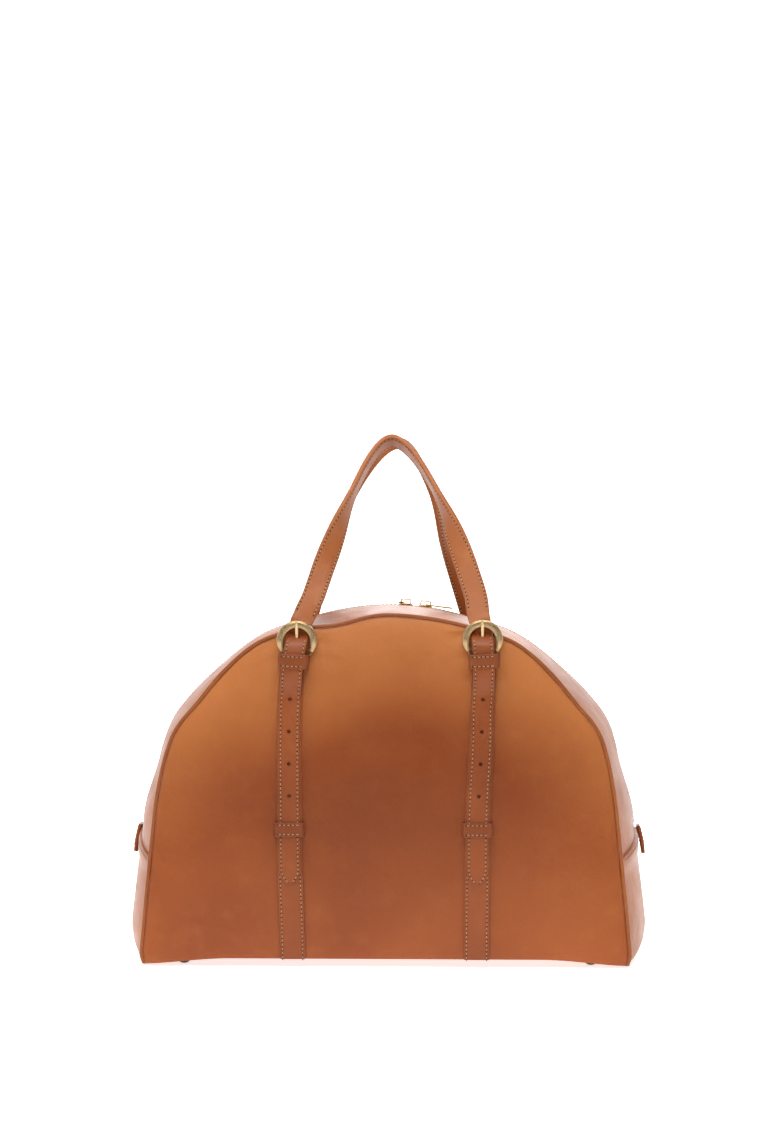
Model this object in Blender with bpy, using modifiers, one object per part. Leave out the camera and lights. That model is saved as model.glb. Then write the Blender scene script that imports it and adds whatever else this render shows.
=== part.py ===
"""Weekender bag: a domed leather travel bag with a zip over the top and two buckled handles.

Metres, +Z up. The front faces -Y, and the origin is on the floor under the middle of the bag.
The front and back halves open about the bottom edges of the base. Each half carries its
panel, half of the zip gusset, two base straps, two buckles and a handle. The back half is
the front half turned half a turn about Z, so its parts are built in the front's place.
"""

from math import atan2, cos, pi, radians, sin, sqrt, tan

import bmesh
import bpy
from mathutils import Matrix, Vector

GAP = 0.0003

# Body
BODY_DEPTH = 0.220
PANEL_HALF_WIDTH = 0.2345
PANEL_TOP = 0.346
PANEL_THICKNESS = 0.003
SHOULDER_RADIUS = 0.045
SHOULDER_HEIGHT = 0.218
SIDE_LEAN = radians(5.7)
PIPING_RADIUS = 0.002
GUSSET_THICKNESS = 0.0022
GUSSET_CROWN = 0.009
BASE_THICKNESS = 0.003
BOARD_THICKNESS = 0.003
BOARD_INSET = 0.006
LINING_THICKNESS = 0.0012
LINING_INSET = 0.012
FOOT_HEIGHT = 0.008
FOOT_RADIUS = 0.007
FOOT_FLAT_RADIUS = 0.003
FOOT_INSET_X = 0.033
FOOT_INSET_Y = 0.025

# Zip
ZIP_END_HEIGHT = 0.126
GUSSET_CORNER_HEIGHT = 0.106
ZIP_MOUTH = 0.012
TAPE_WIDTH = 0.012
TAPE_THICKNESS = 0.0006
TEETH_WIDTH = 0.0025
TEETH_THICKNESS = 0.0034
TEETH_SPLIT = 0.0006
TAPE_END_CLEARANCE = 0.003
SLIDER_LENGTH = 0.014
SLIDER_WIDTH = 0.0092
SLIDER_THICKNESS = 0.002
SLIDER_FLANGE = 0.0014
LEFT_SLIDER_ANGLE = radians(3.5)
RIGHT_SLIDER_ANGLE = radians(7.8)
CROWN_LENGTH = 0.011
CROWN_CLEARANCE = 0.0036
CROWN_THICKNESS = 0.0013
CROWN_WIDTH = 0.0022
CROWN_CORNER = 0.001
PULLER_LENGTH = 0.028
PULLER_WIDTH = 0.0064
PULLER_THICKNESS = 0.0014
PULLER_CORNER = 0.0012
PULLER_EYE_LENGTH = 0.0047
PULLER_EYE_WIDTH = 0.0036
PULLER_END_BAR = 0.0016
TAB_LENGTH = 0.028
TAB_WIDTH = 0.020
TAB_THICKNESS = 0.003
TAB_CORNER = 0.004
TAB_LEAN = radians(14)

# Straps and buckles
STRAP_X = 0.0915
STRAP_WIDTH = 0.0245
STRAP_THICKNESS = 0.0024
STRAP_FOLD_LENGTH = 0.016
STRAP_NECK_LENGTH = 0.012
TAIL_WIDTH = 0.0215
TAIL_TIP_HEIGHT = 0.083
TAIL_POINT_LENGTH = 0.013
TAIL_POINT_WIDTH = 0.006
TAIL_RAMP_LENGTH = 0.026
HOLE_RADIUS = 0.0016
HOLE_PITCH = 0.0314
HOLE_COUNT = 5
HOLE_DRILL_LENGTH = 0.050
BUCKLE_RIM_DROP = 0.0084
BUCKLE_RADIUS = 0.0167
BUCKLE_WIRE_RADIUS = 0.0021
BUCKLE_BAR_DROP = 0.0125
BUCKLE_ARC_END = radians(-37)
PRONG_RADIUS = 0.0012
PRONG_OVERHANG = 0.0028
PRONG_SLOT_WIDTH = 0.0044
PRONG_SLOT_LENGTH = 0.011
PRONG_SLOT_DROP = 0.0015
KEEPER_HEIGHT = 0.0135
KEEPER_THICKNESS = 0.0016
LOWER_KEEPER_HEIGHT = 0.1355

# Handles
HANDLE_WIDTH = 0.024
HANDLE_THICKNESS = 0.0042
HANDLE_LENGTH = 0.204
HANDLE_LEAN = radians(25)
HANDLE_START = 0.009
HANDLE_FOOT_LEAN = radians(15)
HANDLE_LEG_PULL = 0.112
HANDLE_TOP_PULL = 0.023
HANDLE_TWIST_START = 0.08
HANDLE_TWIST_END = 0.55

# Facets
ARCH_STEPS = 14
SHOULDER_STEPS = 4
SIDE_STEPS = 3
BEND_STEPS = 6
BUCKLE_STEPS = 20
HANDLE_STEPS = 14
ROUND_STEPS = 12

LEATHER = ("cognac_leather", (0.42, 0.16, 0.06), 0.42, 0.0)
STRAP_LEATHER = ("strap_leather", (0.40, 0.15, 0.06), 0.45, 0.0)
BRASS = ("antique_brass", (0.45, 0.33, 0.16), 0.32, 1.0)
GOLD = ("gold_plated_zinc", (0.72, 0.55, 0.26), 0.25, 1.0)
TAPE = ("zip_tape", (0.30, 0.16, 0.08), 0.85, 0.0)
BOARD = ("fibre_board", (0.10, 0.08, 0.07), 0.8, 0.0)
COTTON = ("cotton_lining", (0.24, 0.20, 0.15), 0.9, 0.0)
FOOT_METAL = ("dark_brass", (0.10, 0.08, 0.05), 0.35, 1.0)

# Places that follow from the sizes
HALF_DEPTH = BODY_DEPTH / 2
INNER_DEPTH = HALF_DEPTH - PANEL_THICKNESS - GAP
SIDE_SLOPE = tan(SIDE_LEAN)
SIDE_RUN = (SHOULDER_HEIGHT - FOOT_HEIGHT) * SIDE_SLOPE
SHOULDER_X = PANEL_HALF_WIDTH - SIDE_RUN - SHOULDER_RADIUS / cos(SIDE_LEAN)
ARCH_RISE = PANEL_TOP - SHOULDER_HEIGHT
ARCH_RADIUS = (SHOULDER_X**2 + ARCH_RISE**2 - SHOULDER_RADIUS**2) / (2 * (ARCH_RISE - SHOULDER_RADIUS))
ARCH_CENTRE_Z = PANEL_TOP - ARCH_RADIUS
BUCKLE_HEIGHT = ARCH_CENTRE_Z + sqrt(ARCH_RADIUS**2 - STRAP_X**2) - BUCKLE_RIM_DROP
STRAP_OFFSET = GAP + STRAP_THICKNESS / 2
BUCKLE_OFFSET = GAP + STRAP_THICKNESS + GAP + BUCKLE_WIRE_RADIUS
BUCKLE_Y = -HALF_DEPTH - BUCKLE_OFFSET
BAR_Z = BUCKLE_HEIGHT - BUCKLE_BAR_DROP
FOLD_RADIUS = BUCKLE_WIRE_RADIUS + GAP + STRAP_THICKNESS / 2
PIVOT_Z = BUCKLE_HEIGHT + BUCKLE_RADIUS
TAIL_FRONT_OFFSET = BUCKLE_OFFSET + FOLD_RADIUS + STRAP_THICKNESS + GAP
TAIL_LOW_OFFSET = STRAP_OFFSET + STRAP_THICKNESS + GAP
TAIL_TURN_LOW = BAR_Z + FOLD_RADIUS + STRAP_THICKNESS / 2 + GAP
BUCKLE_INNER_RADIUS = BUCKLE_RADIUS - BUCKLE_WIRE_RADIUS
TAIL_TURN_HIGH = BUCKLE_HEIGHT + sqrt(BUCKLE_INNER_RADIUS**2 - (TAIL_WIDTH / 2) ** 2)
PRONG_EYE_RADIUS = BUCKLE_WIRE_RADIUS + GAP + PRONG_RADIUS
UPPER_KEEPER_TOP = BAR_Z - BUCKLE_WIRE_RADIUS - GAP
TEETH_EDGE = TEETH_SPLIT / 2 + TEETH_WIDTH
FRONT = Matrix.Identity(4)
BACK = Matrix.Rotation(pi, 4, "Z")


def clear_scene():
    for thing in list(bpy.data.objects):
        bpy.data.objects.remove(thing, do_unlink=True)


def make_collection(name):
    made = bpy.data.collections.new(name)
    bpy.context.scene.collection.children.link(made)
    return made


def make_material(part_name, finish):
    label, colour, roughness, metallic = finish
    made = bpy.data.materials.new(f"{part_name}_{label}")
    made.use_nodes = True
    shader = made.node_tree.nodes["Principled BSDF"]
    shader.inputs["Base Color"].default_value = (*colour, 1.0)
    shader.inputs["Roughness"].default_value = roughness
    shader.inputs["Metallic"].default_value = metallic
    made.diffuse_color = (*colour, 1.0)
    return made


def hang_from(child, parent):
    """Parents one object to another and leaves it where it is."""
    bpy.context.view_layer.update()
    child.parent = parent
    child.matrix_parent_inverse = parent.matrix_world.inverted()


def add_part(name, data, finish, parent=None, place=FRONT):
    part = bpy.data.objects.new(name, data)
    data.materials.append(make_material(name, finish))
    PARTS.objects.link(part)
    part.matrix_world = place
    if parent:
        hang_from(part, parent)
    return part


def add_pivot(name, point, parent=None):
    empty = bpy.data.objects.new(name, None)
    empty.location = point
    PARTS.objects.link(empty)
    if parent:
        hang_from(empty, parent)
    return empty


def loft(name, stations):
    """A closed solid through a list of sections that have the same number of points."""
    shaped = bmesh.new()
    rings = [[shaped.verts.new(point) for point in station] for station in stations]
    count = len(rings[0])
    for ring, after in zip(rings, rings[1:]):
        for i in range(count):
            j = (i + 1) % count
            shaped.faces.new((ring[i], ring[j], after[j], after[i]))
    shaped.faces.new(rings[0])
    shaped.faces.new(rings[-1])
    bmesh.ops.recalc_face_normals(shaped, faces=shaped.faces)
    data = bpy.data.meshes.new(name)
    shaped.to_mesh(data)
    shaped.free()
    return data


def block(name, low, high):
    shaped = bmesh.new()
    bmesh.ops.create_cube(shaped, size=1.0)
    size = Vector(high) - Vector(low)
    bmesh.ops.scale(shaped, vec=size, verts=shaped.verts)
    bmesh.ops.translate(shaped, vec=Vector(low) + size / 2, verts=shaped.verts)
    data = bpy.data.meshes.new(name)
    shaped.to_mesh(data)
    shaped.free()
    return data


def plate(name, outlines, thickness):
    """A flat sheet in the local XY plane; outlines after the first are holes."""
    data = bpy.data.curves.new(name, "CURVE")
    data.dimensions = "2D"
    data.fill_mode = "BOTH"
    data.extrude = thickness / 2
    for outline in outlines:
        spline = data.splines.new("POLY")
        spline.points.add(len(outline) - 1)
        for point, (across, along) in zip(spline.points, outline):
            point.co = (across, along, 0, 1)
        spline.use_cyclic_u = True
    return data


def tube(name, points, radius, cyclic=False):
    data = bpy.data.curves.new(name, "CURVE")
    data.dimensions = "3D"
    data.bevel_depth = radius
    data.bevel_resolution = 2
    data.use_fill_caps = True
    spline = data.splines.new("POLY")
    spline.points.add(len(points) - 1)
    for target, point in zip(spline.points, points):
        target.co = (*point, 1)
    spline.use_cyclic_u = cyclic
    return data


def solid_from_curve(curve, name):
    """The closed mesh of a curve, for pieces that are cut or joined."""
    holder = bpy.data.objects.new(name, curve)
    PARTS.objects.link(holder)
    graph = bpy.context.evaluated_depsgraph_get()
    data = bpy.data.meshes.new_from_object(holder.evaluated_get(graph))
    bpy.data.objects.remove(holder, do_unlink=True)
    shaped = bmesh.new()
    shaped.from_mesh(data)
    bmesh.ops.remove_doubles(shaped, verts=shaped.verts, dist=0.00001)
    bmesh.ops.recalc_face_normals(shaped, faces=shaped.faces)
    shaped.to_mesh(data)
    shaped.free()
    return data


def join_meshes(name, pieces):
    shaped = bmesh.new()
    for piece in pieces:
        shaped.from_mesh(piece)
    data = bpy.data.meshes.new(name)
    shaped.to_mesh(data)
    shaped.free()
    return data


def apply_tool(part, tool_data, operation):
    """Cuts a part with a tool, or unites the two; the tool shares the part's place."""
    tool = bpy.data.objects.new(f"{part.name}_{operation.lower()}_tool", tool_data)
    TOOLS.objects.link(tool)
    bpy.context.view_layer.update()
    tool.matrix_world = part.matrix_world
    tool.hide_render = True
    tool.display_type = "WIRE"
    step = part.modifiers.new(operation.title(), "BOOLEAN")
    step.operation = operation
    step.object = tool
    step.solver = "EXACT"


def cut_corners(width, low, high, corner):
    """A rectangle across the local X axis with its far corners cut."""
    half = width / 2
    return [
        (low, -half), (high - corner, -half), (high, -half + corner),
        (high, half - corner), (high - corner, half), (low, half),
    ]


# The outline of the bag from the front, as points with their outward normals


def side_station(height):
    x = PANEL_HALF_WIDTH - (height - FOOT_HEIGHT) * SIDE_SLOPE
    return Vector((x, 0, height)), Vector((cos(SIDE_LEAN), 0, sin(SIDE_LEAN)))


def dome_half(low):
    """Stations from the top of the dome down its right side to a height."""
    centre = Vector((SHOULDER_X, 0, SHOULDER_HEIGHT))
    turn = atan2(centre.x, centre.z - ARCH_CENTRE_Z)
    stations = []
    for i in range(ARCH_STEPS + 1):
        angle = turn * i / ARCH_STEPS
        normal = Vector((sin(angle), 0, cos(angle)))
        stations.append((Vector((0, 0, ARCH_CENTRE_Z)) + normal * ARCH_RADIUS, normal))
    for i in range(1, SHOULDER_STEPS + 1):
        angle = turn + (pi / 2 - SIDE_LEAN - turn) * i / SHOULDER_STEPS
        normal = Vector((sin(angle), 0, cos(angle)))
        stations.append((centre + normal * SHOULDER_RADIUS, normal))
    shoulder_low = stations[-1][0].z
    for i in range(1, SIDE_STEPS + 1):
        stations.append(side_station(shoulder_low + (low - shoulder_low) * i / SIDE_STEPS))
    return stations


def mirrored(station):
    return tuple(Vector((-v.x, v.y, v.z)) for v in station)


def dome(low):
    half = dome_half(low)
    return [mirrored(station) for station in reversed(half)] + half[1:]


def dome_outline(inset, low):
    """The panel's outline as X and Z pairs, from the lower left over the top."""
    points = [point - normal * inset for point, normal in dome(low)]
    points[0].z = points[-1].z = low
    return [(point.x, point.z) for point in points]


def crown_offset(y):
    """How far the gusset stands out from the outline at a depth."""
    return GUSSET_CROWN * (INNER_DEPTH - abs(y)) / (INNER_DEPTH - ZIP_MOUTH / 2)


def end_height(y):
    """The height of the end gusset's pointed top edge at a depth."""
    return ZIP_END_HEIGHT - (ZIP_END_HEIGHT - GUSSET_CORNER_HEIGHT) * abs(y) / INNER_DEPTH


def at_depth(station, offset, y):
    point, normal = station
    return point + normal * offset + Vector((0, y, 0))


def band(name, rim_y, mouth_y, rise, thickness, clearance):
    """Half of the zip's arch: a strip that follows the dome between two depths."""
    edges = [(rim_y, 0), (mouth_y, 0), (mouth_y, -thickness), (rim_y, -thickness)]
    stations = dome(ZIP_END_HEIGHT)
    sections = []
    for place, station in enumerate(stations):
        section = []
        for y, drop in edges:
            spot = station
            if place in (0, len(stations) - 1):
                spot = side_station(end_height(y) + clearance)
                spot = mirrored(spot) if place == 0 else spot
            section.append(at_depth(spot, rise(y) + drop, y))
        sections.append(section)
    return loft(name, sections)


def tape_top(y):
    return crown_offset(y) - GUSSET_THICKNESS - GAP


def teeth_level(_y):
    return tape_top(TEETH_EDGE + GAP) - TAPE_THICKNESS / 2 + TEETH_THICKNESS / 2


def build_base():
    rim_low = FOOT_HEIGHT
    end_y = [-INNER_DEPTH, 0, INNER_DEPTH]
    for side, name in ((1, "right_end_gusset"), (-1, "left_end_gusset")):
        sections = []
        for share in (0, 0.5, 1):
            section = []
            for drop, order in ((0, end_y), (-GUSSET_THICKNESS, end_y[::-1])):
                for y in order:
                    height = rim_low + (end_height(y) - rim_low) * share
                    point = at_depth(side_station(height), crown_offset(y) + drop, y)
                    section.append(Vector((point.x * side, point.y, point.z)))
            sections.append(section)
        add_part(name, loft(name, sections), LEATHER)

    base_top = FOOT_HEIGHT + BASE_THICKNESS
    point, normal = side_station(base_top)
    half_width = (point - normal * (GUSSET_THICKNESS + GAP)).x - GAP
    low_corner = (-half_width, -INNER_DEPTH, FOOT_HEIGHT)
    base = block("base_panel", low_corner, (half_width, INNER_DEPTH, base_top))
    add_part("base_panel", base, LEATHER)

    board_low = base_top + GAP
    board_top = board_low + BOARD_THICKNESS
    corner = (half_width - BOARD_INSET, INNER_DEPTH - BOARD_INSET)
    board = block("base_board", (-corner[0], -corner[1], board_low), (*corner, board_top))
    add_part("base_board", board, BOARD)

    lining_low = board_top + GAP
    lining = block("base_lining", (-corner[0], -corner[1], lining_low),
                   (*corner, lining_low + LINING_THICKNESS))
    add_part("base_lining", lining, COTTON)

    for x_side, x_name in ((-1, "left"), (1, "right")):
        for y_side, y_name in ((-1, "front"), (1, "back")):
            x = x_side * (PANEL_HALF_WIDTH - FOOT_INSET_X)
            y = y_side * (HALF_DEPTH - FOOT_INSET_Y)
            add_foot(f"{y_name}_{x_name}_foot", Vector((x, y, 0)))


def add_foot(name, spot):
    """A domed stud: half its side profile, turned about Z."""
    top = FOOT_HEIGHT - GAP
    skirt = top - (FOOT_RADIUS - FOOT_FLAT_RADIUS)
    profile = [(0, top), (FOOT_RADIUS, top), (FOOT_RADIUS, top - skirt)]
    dome_radius = FOOT_RADIUS - FOOT_FLAT_RADIUS
    for i in range(1, 4):
        angle = pi / 2 * i / 3
        profile.append((FOOT_FLAT_RADIUS + dome_radius * cos(angle), dome_radius * (1 - sin(angle))))
    profile.append((0, 0))
    data = bpy.data.meshes.new(name)
    edges = [(i, i + 1) for i in range(len(profile) - 1)]
    data.from_pydata([(x, 0, z) for x, z in profile], edges, [])
    foot = add_part(name, data, FOOT_METAL, place=Matrix.Translation(spot))
    turning = foot.modifiers.new("Turned", "SCREW")
    turning.steps = turning.render_steps = ROUND_STEPS
    turning.use_merge_vertices = True
    turning.merge_threshold = 0.00001
    turning.use_smooth_shade = True


def build_half(facing, name):
    """A panel with its half of the zip, hinged on the bottom edge of the base."""
    hinge = add_pivot(f"{name}_half_hinge", facing @ Vector((0, -HALF_DEPTH, FOOT_HEIGHT)))

    stand = Matrix.Rotation(pi / 2, 4, "X")
    upright = Matrix.Translation((0, -HALF_DEPTH + PANEL_THICKNESS / 2, 0)) @ stand
    panel = plate(f"{name}_panel", [dome_outline(0, FOOT_HEIGHT)], PANEL_THICKNESS)
    add_part(f"{name}_panel", panel, LEATHER, hinge, facing @ upright)

    lining_y = -INNER_DEPTH + LINING_THICKNESS / 2
    lining_low = FOOT_HEIGHT + BASE_THICKNESS + BOARD_THICKNESS + LINING_INSET
    upright = Matrix.Translation((0, lining_y, 0)) @ stand
    lining = plate(f"{name}_lining", [dome_outline(LINING_INSET, lining_low)], LINING_THICKNESS)
    add_part(f"{name}_lining", lining, COTTON, hinge, facing @ upright)

    piping_y = -HALF_DEPTH + PIPING_RADIUS
    route = [at_depth(station, PIPING_RADIUS + GAP, piping_y) for station in dome(FOOT_HEIGHT)]
    add_part(f"{name}_piping", tube(f"{name}_piping", route, PIPING_RADIUS), LEATHER, hinge, facing)

    tape_edge = -TEETH_EDGE - GAP
    strips = (
        ("zip_gusset", -INNER_DEPTH, -ZIP_MOUTH / 2, crown_offset, GUSSET_THICKNESS, GAP, LEATHER),
        ("zip_tape", tape_edge - TAPE_WIDTH, tape_edge, tape_top, TAPE_THICKNESS, TAPE_END_CLEARANCE, TAPE),
        ("zip_teeth", -TEETH_EDGE, -TEETH_SPLIT / 2, teeth_level, TEETH_THICKNESS, TAPE_END_CLEARANCE, GOLD),
    )
    for kind, rim_y, mouth_y, rise, thickness, clearance, finish in strips:
        strip = band(f"{name}_{kind}", rim_y, mouth_y, rise, thickness, clearance)
        add_part(f"{name}_{kind}", strip, finish, hinge, facing)

    for hand, side in ((-1, "left"), (1, "right")):
        build_strap_set(facing, hinge, f"{name}_{side}", hand * facing[0][0] * STRAP_X)
    build_handle(facing, hinge, name)
    return hinge


# Straps and buckles, built at the front with offsets measured outwards from the panel


def strap(name, path, thickness, x):
    """A flat strap along a path of (offset, height, width) points."""
    spots = [Vector((0, -HALF_DEPTH - offset, height)) for offset, height, _ in path]
    sections = []
    for i, spot in enumerate(spots):
        before = spots[max(i - 1, 0)]
        after = spots[min(i + 1, len(spots) - 1)]
        along = (after - before).normalized()
        out = along.cross(Vector((1, 0, 0))) * thickness / 2
        half = Vector((path[i][2] / 2, 0, 0))
        centre = spot + Vector((x, 0, 0))
        inner, outer = centre - out, centre + out
        sections.append([inner - half, inner + half, outer + half, outer - half])
    return loft(name, sections)


def arc(centre, radius, start, end, steps):
    """Points on an arc as (offset, height) pairs; angle 0 is outwards and 90 is up."""
    points = []
    for i in range(steps + 1):
        angle = start + (end - start) * i / steps
        points.append((centre[0] + radius * cos(angle), centre[1] + radius * sin(angle)))
    return points


def ramp(start, end, steps):
    """A smooth change from one (offset, height) pair to another."""
    points = []
    for i in range(steps + 1):
        share = i / steps
        ease = share * share * (3 - 2 * share)
        points.append((start[0] + (end[0] - start[0]) * ease, start[1] + (end[1] - start[1]) * share))
    return points


def base_strap_path():
    neck = BAR_Z - BUCKLE_WIRE_RADIUS
    low = [(STRAP_OFFSET, z, STRAP_WIDTH) for z in (FOOT_HEIGHT + GAP, neck - STRAP_NECK_LENGTH)]
    fold = arc((BUCKLE_OFFSET, BAR_Z), FOLD_RADIUS, pi, 0, BEND_STEPS)
    end = (BUCKLE_OFFSET + FOLD_RADIUS, BAR_Z - STRAP_FOLD_LENGTH, TAIL_WIDTH)
    return low + [(*point, TAIL_WIDTH) for point in [(STRAP_OFFSET, neck), *fold]] + [end]


def tail_path():
    tip = (TAIL_LOW_OFFSET, TAIL_TIP_HEIGHT, TAIL_POINT_WIDTH)
    low = (TAIL_LOW_OFFSET, TAIL_TIP_HEIGHT + TAIL_POINT_LENGTH)
    fold_end = BAR_Z - STRAP_FOLD_LENGTH - GAP
    ramp_low = (TAIL_LOW_OFFSET, fold_end - TAIL_RAMP_LENGTH)
    level = ramp(ramp_low, (TAIL_FRONT_OFFSET, fold_end), BEND_STEPS)
    rise = ramp((TAIL_FRONT_OFFSET, TAIL_TURN_LOW), (STRAP_OFFSET, TAIL_TURN_HIGH), BEND_STEPS)
    points = [low, *level, *rise, (STRAP_OFFSET, PIVOT_Z)]
    return [tip] + [(*point, TAIL_WIDTH) for point in points]


def prong_line():
    """The straight part of the prong: from behind the bar to the front of the ring's top."""
    start = (BUCKLE_OFFSET - PRONG_EYE_RADIUS, BAR_Z)
    end = (BUCKLE_OFFSET + PRONG_EYE_RADIUS, PIVOT_Z)
    return start, end


def prong_hole_height():
    """Where the prong comes through the middle of the tail's rise."""
    (start_offset, start_z), (end_offset, end_z) = prong_line()
    rise = (end_offset - start_offset) / (end_z - start_z)
    fall = (TAIL_FRONT_OFFSET - STRAP_OFFSET) / (TAIL_TURN_HIGH - TAIL_TURN_LOW)
    apart = TAIL_FRONT_OFFSET - start_offset + fall * TAIL_TURN_LOW + rise * start_z
    return apart / (rise + fall)


def tail_cutter(x):
    centre_z = prong_hole_height() - PRONG_SLOT_DROP
    half = Vector((PRONG_SLOT_WIDTH / 2, TAIL_FRONT_OFFSET, PRONG_SLOT_LENGTH / 2))
    centre = Vector((x, -HALF_DEPTH - TAIL_FRONT_OFFSET / 2, centre_z))
    tools = [block("slot", centre - half, centre + half)]
    for i in range(1, HOLE_COUNT + 1):
        drill = bmesh.new()
        bmesh.ops.create_cone(drill, cap_ends=True, segments=ROUND_STEPS, radius1=HOLE_RADIUS,
                              radius2=HOLE_RADIUS, depth=HOLE_DRILL_LENGTH)
        bmesh.ops.rotate(drill, matrix=Matrix.Rotation(pi / 2, 3, "X"), verts=drill.verts)
        spot = Vector((x, -HALF_DEPTH, prong_hole_height() - i * HOLE_PITCH))
        bmesh.ops.translate(drill, vec=spot, verts=drill.verts)
        data = bpy.data.meshes.new("drill")
        drill.to_mesh(data)
        drill.free()
        tools.append(data)
    return join_meshes("tail_cutter", tools)


def buckle_path(x):
    ring = []
    for i in range(BUCKLE_STEPS + 1):
        angle = BUCKLE_ARC_END + (pi - 2 * BUCKLE_ARC_END) * i / BUCKLE_STEPS
        across, up = BUCKLE_RADIUS * cos(angle), BUCKLE_RADIUS * sin(angle)
        ring.append((x + across, BUCKLE_Y, BUCKLE_HEIGHT + up))
    bar_half = BUCKLE_RADIUS * cos(BUCKLE_ARC_END)
    return ring + [(x - bar_half, BUCKLE_Y, BAR_Z), (x + bar_half, BUCKLE_Y, BAR_Z)]


def prong_path(x):
    hook = arc((BUCKLE_OFFSET, BAR_Z), PRONG_EYE_RADIUS, -radians(20), -pi, BEND_STEPS)
    (start_offset, start_z), (end_offset, end_z) = prong_line()
    grow = 1 + PRONG_OVERHANG / (end_z - start_z)
    tip = (start_offset + (end_offset - start_offset) * grow, start_z + (end_z - start_z) * grow)
    return [(x, -HALF_DEPTH - offset, z) for offset, z in [*hook, tip]]


def keeper(name, x, front_offset):
    """A loop round the straps, open where it is sewn down against the panel."""
    inner = STRAP_WIDTH / 2 + GAP
    outer = inner + KEEPER_THICKNESS
    back = -HALF_DEPTH - GAP
    front = -HALF_DEPTH - front_offset
    face = front - KEEPER_THICKNESS
    outline = [
        (x - outer, back), (x - outer, face), (x + outer, face), (x + outer, back),
        (x + inner, back), (x + inner, front), (x - inner, front), (x - inner, back),
    ]
    return plate(name, [outline], KEEPER_HEIGHT)


def build_strap_set(facing, hinge, name, x):
    base_strap = strap(f"{name}_base_strap", base_strap_path(), STRAP_THICKNESS, x)
    base = add_part(f"{name}_base_strap", base_strap, STRAP_LEATHER, hinge, facing)
    eye_reach = PRONG_EYE_RADIUS + PRONG_RADIUS + 2 * GAP
    half = Vector((PRONG_SLOT_WIDTH / 2, TAIL_FRONT_OFFSET, eye_reach))
    centre = Vector((x, -HALF_DEPTH - TAIL_FRONT_OFFSET / 2, BAR_Z))
    apply_tool(base, block("slot", centre - half, centre + half), "DIFFERENCE")

    frame = tube(f"{name}_buckle_frame", buckle_path(x), BUCKLE_WIRE_RADIUS, cyclic=True)
    add_part(f"{name}_buckle_frame", frame, BRASS, hinge, facing)

    bar = add_pivot(f"{name}_prong_pivot", facing @ Vector((x, BUCKLE_Y, BAR_Z)), hinge)
    prong = tube(f"{name}_buckle_prong", prong_path(x), PRONG_RADIUS)
    add_part(f"{name}_buckle_prong", prong, BRASS, bar, facing)

    tail_strap = strap(f"{name}_strap_tail", tail_path(), STRAP_THICKNESS, x)
    tail = add_part(f"{name}_strap_tail", tail_strap, STRAP_LEATHER, hinge, facing)
    apply_tool(tail, tail_cutter(x), "DIFFERENCE")

    clear = STRAP_THICKNESS / 2 + GAP
    spots = (
        ("upper", UPPER_KEEPER_TOP - KEEPER_HEIGHT / 2, TAIL_FRONT_OFFSET + clear),
        ("lower", LOWER_KEEPER_HEIGHT, TAIL_LOW_OFFSET + clear),
    )
    for level, height, front_offset in spots:
        loop = keeper(f"{name}_{level}_keeper", x, front_offset)
        place = facing @ Matrix.Translation((0, 0, height))
        add_part(f"{name}_{level}_keeper", loop, STRAP_LEATHER, hinge, place)


# Handles


def bezier(points, share):
    rest = 1 - share
    weights = (rest**3, 3 * rest**2 * share, 3 * rest * share**2, share**3)
    total = Vector((0, 0, 0))
    for weight, point in zip(weights, points):
        total += point * weight
    return total


def handle_sections():
    """Strap sections from the left leg over the top to the right leg, in an upright plane.

    The strap faces the front on its legs and turns a quarter to lie flat over the top.
    """
    plane_y = FOLD_RADIUS
    foot = Vector((-STRAP_X + HANDLE_START * sin(HANDLE_FOOT_LEAN), plane_y, HANDLE_START))
    leg_pull = Vector((sin(HANDLE_FOOT_LEAN), 0, cos(HANDLE_FOOT_LEAN))) * HANDLE_LEG_PULL
    top = Vector((0, plane_y, HANDLE_LENGTH))
    control = [foot, foot + leg_pull, top - Vector((HANDLE_TOP_PULL, 0, 0)), top]
    shares = [i / HANDLE_STEPS for i in range(HANDLE_STEPS + 1)]
    half = [(bezier(control, share), share) for share in shares]
    whole = half + [(Vector((-p.x, p.y, p.z)), share) for p, share in reversed(half[:-1])]
    sections = []
    for i, (spot, share) in enumerate(whole):
        along = (whole[min(i + 1, len(whole) - 1)][0] - whole[max(i - 1, 0)][0]).normalized()
        turned = (share - HANDLE_TWIST_START) / (HANDLE_TWIST_END - HANDLE_TWIST_START)
        turned = min(max(turned, 0), 1)
        twist = pi / 2 * turned * turned * (3 - 2 * turned)
        front = Vector((0, -1, 0))
        outward = front.cross(along) * -1
        face = front * cos(twist) + outward * sin(twist)
        side = along.cross(face) * HANDLE_WIDTH / 2
        lift = face * HANDLE_THICKNESS / 2
        low, high = spot - lift, spot + lift
        sections.append([low - side, low + side, high + side, high - side])
    return sections


def build_handle(facing, hinge, name):
    axis = facing @ Vector((0, BUCKLE_Y, PIVOT_Z))
    swing = add_pivot(f"{name}_handle_pivot", axis, hinge)
    lean = Matrix.Rotation(-HANDLE_LEAN, 4, "X")
    place = facing @ Matrix.Translation((0, BUCKLE_Y, PIVOT_Z)) @ lean
    add_part(f"{name}_handle", loft(f"{name}_handle", handle_sections()), STRAP_LEATHER, swing, place)


# Zip sliders, pullers and end tabs


def slider_levels():
    """The slider plate's underside and top, measured out from the dome's outline."""
    low = teeth_level(0) + GAP
    return low, low + SLIDER_THICKNESS


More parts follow.
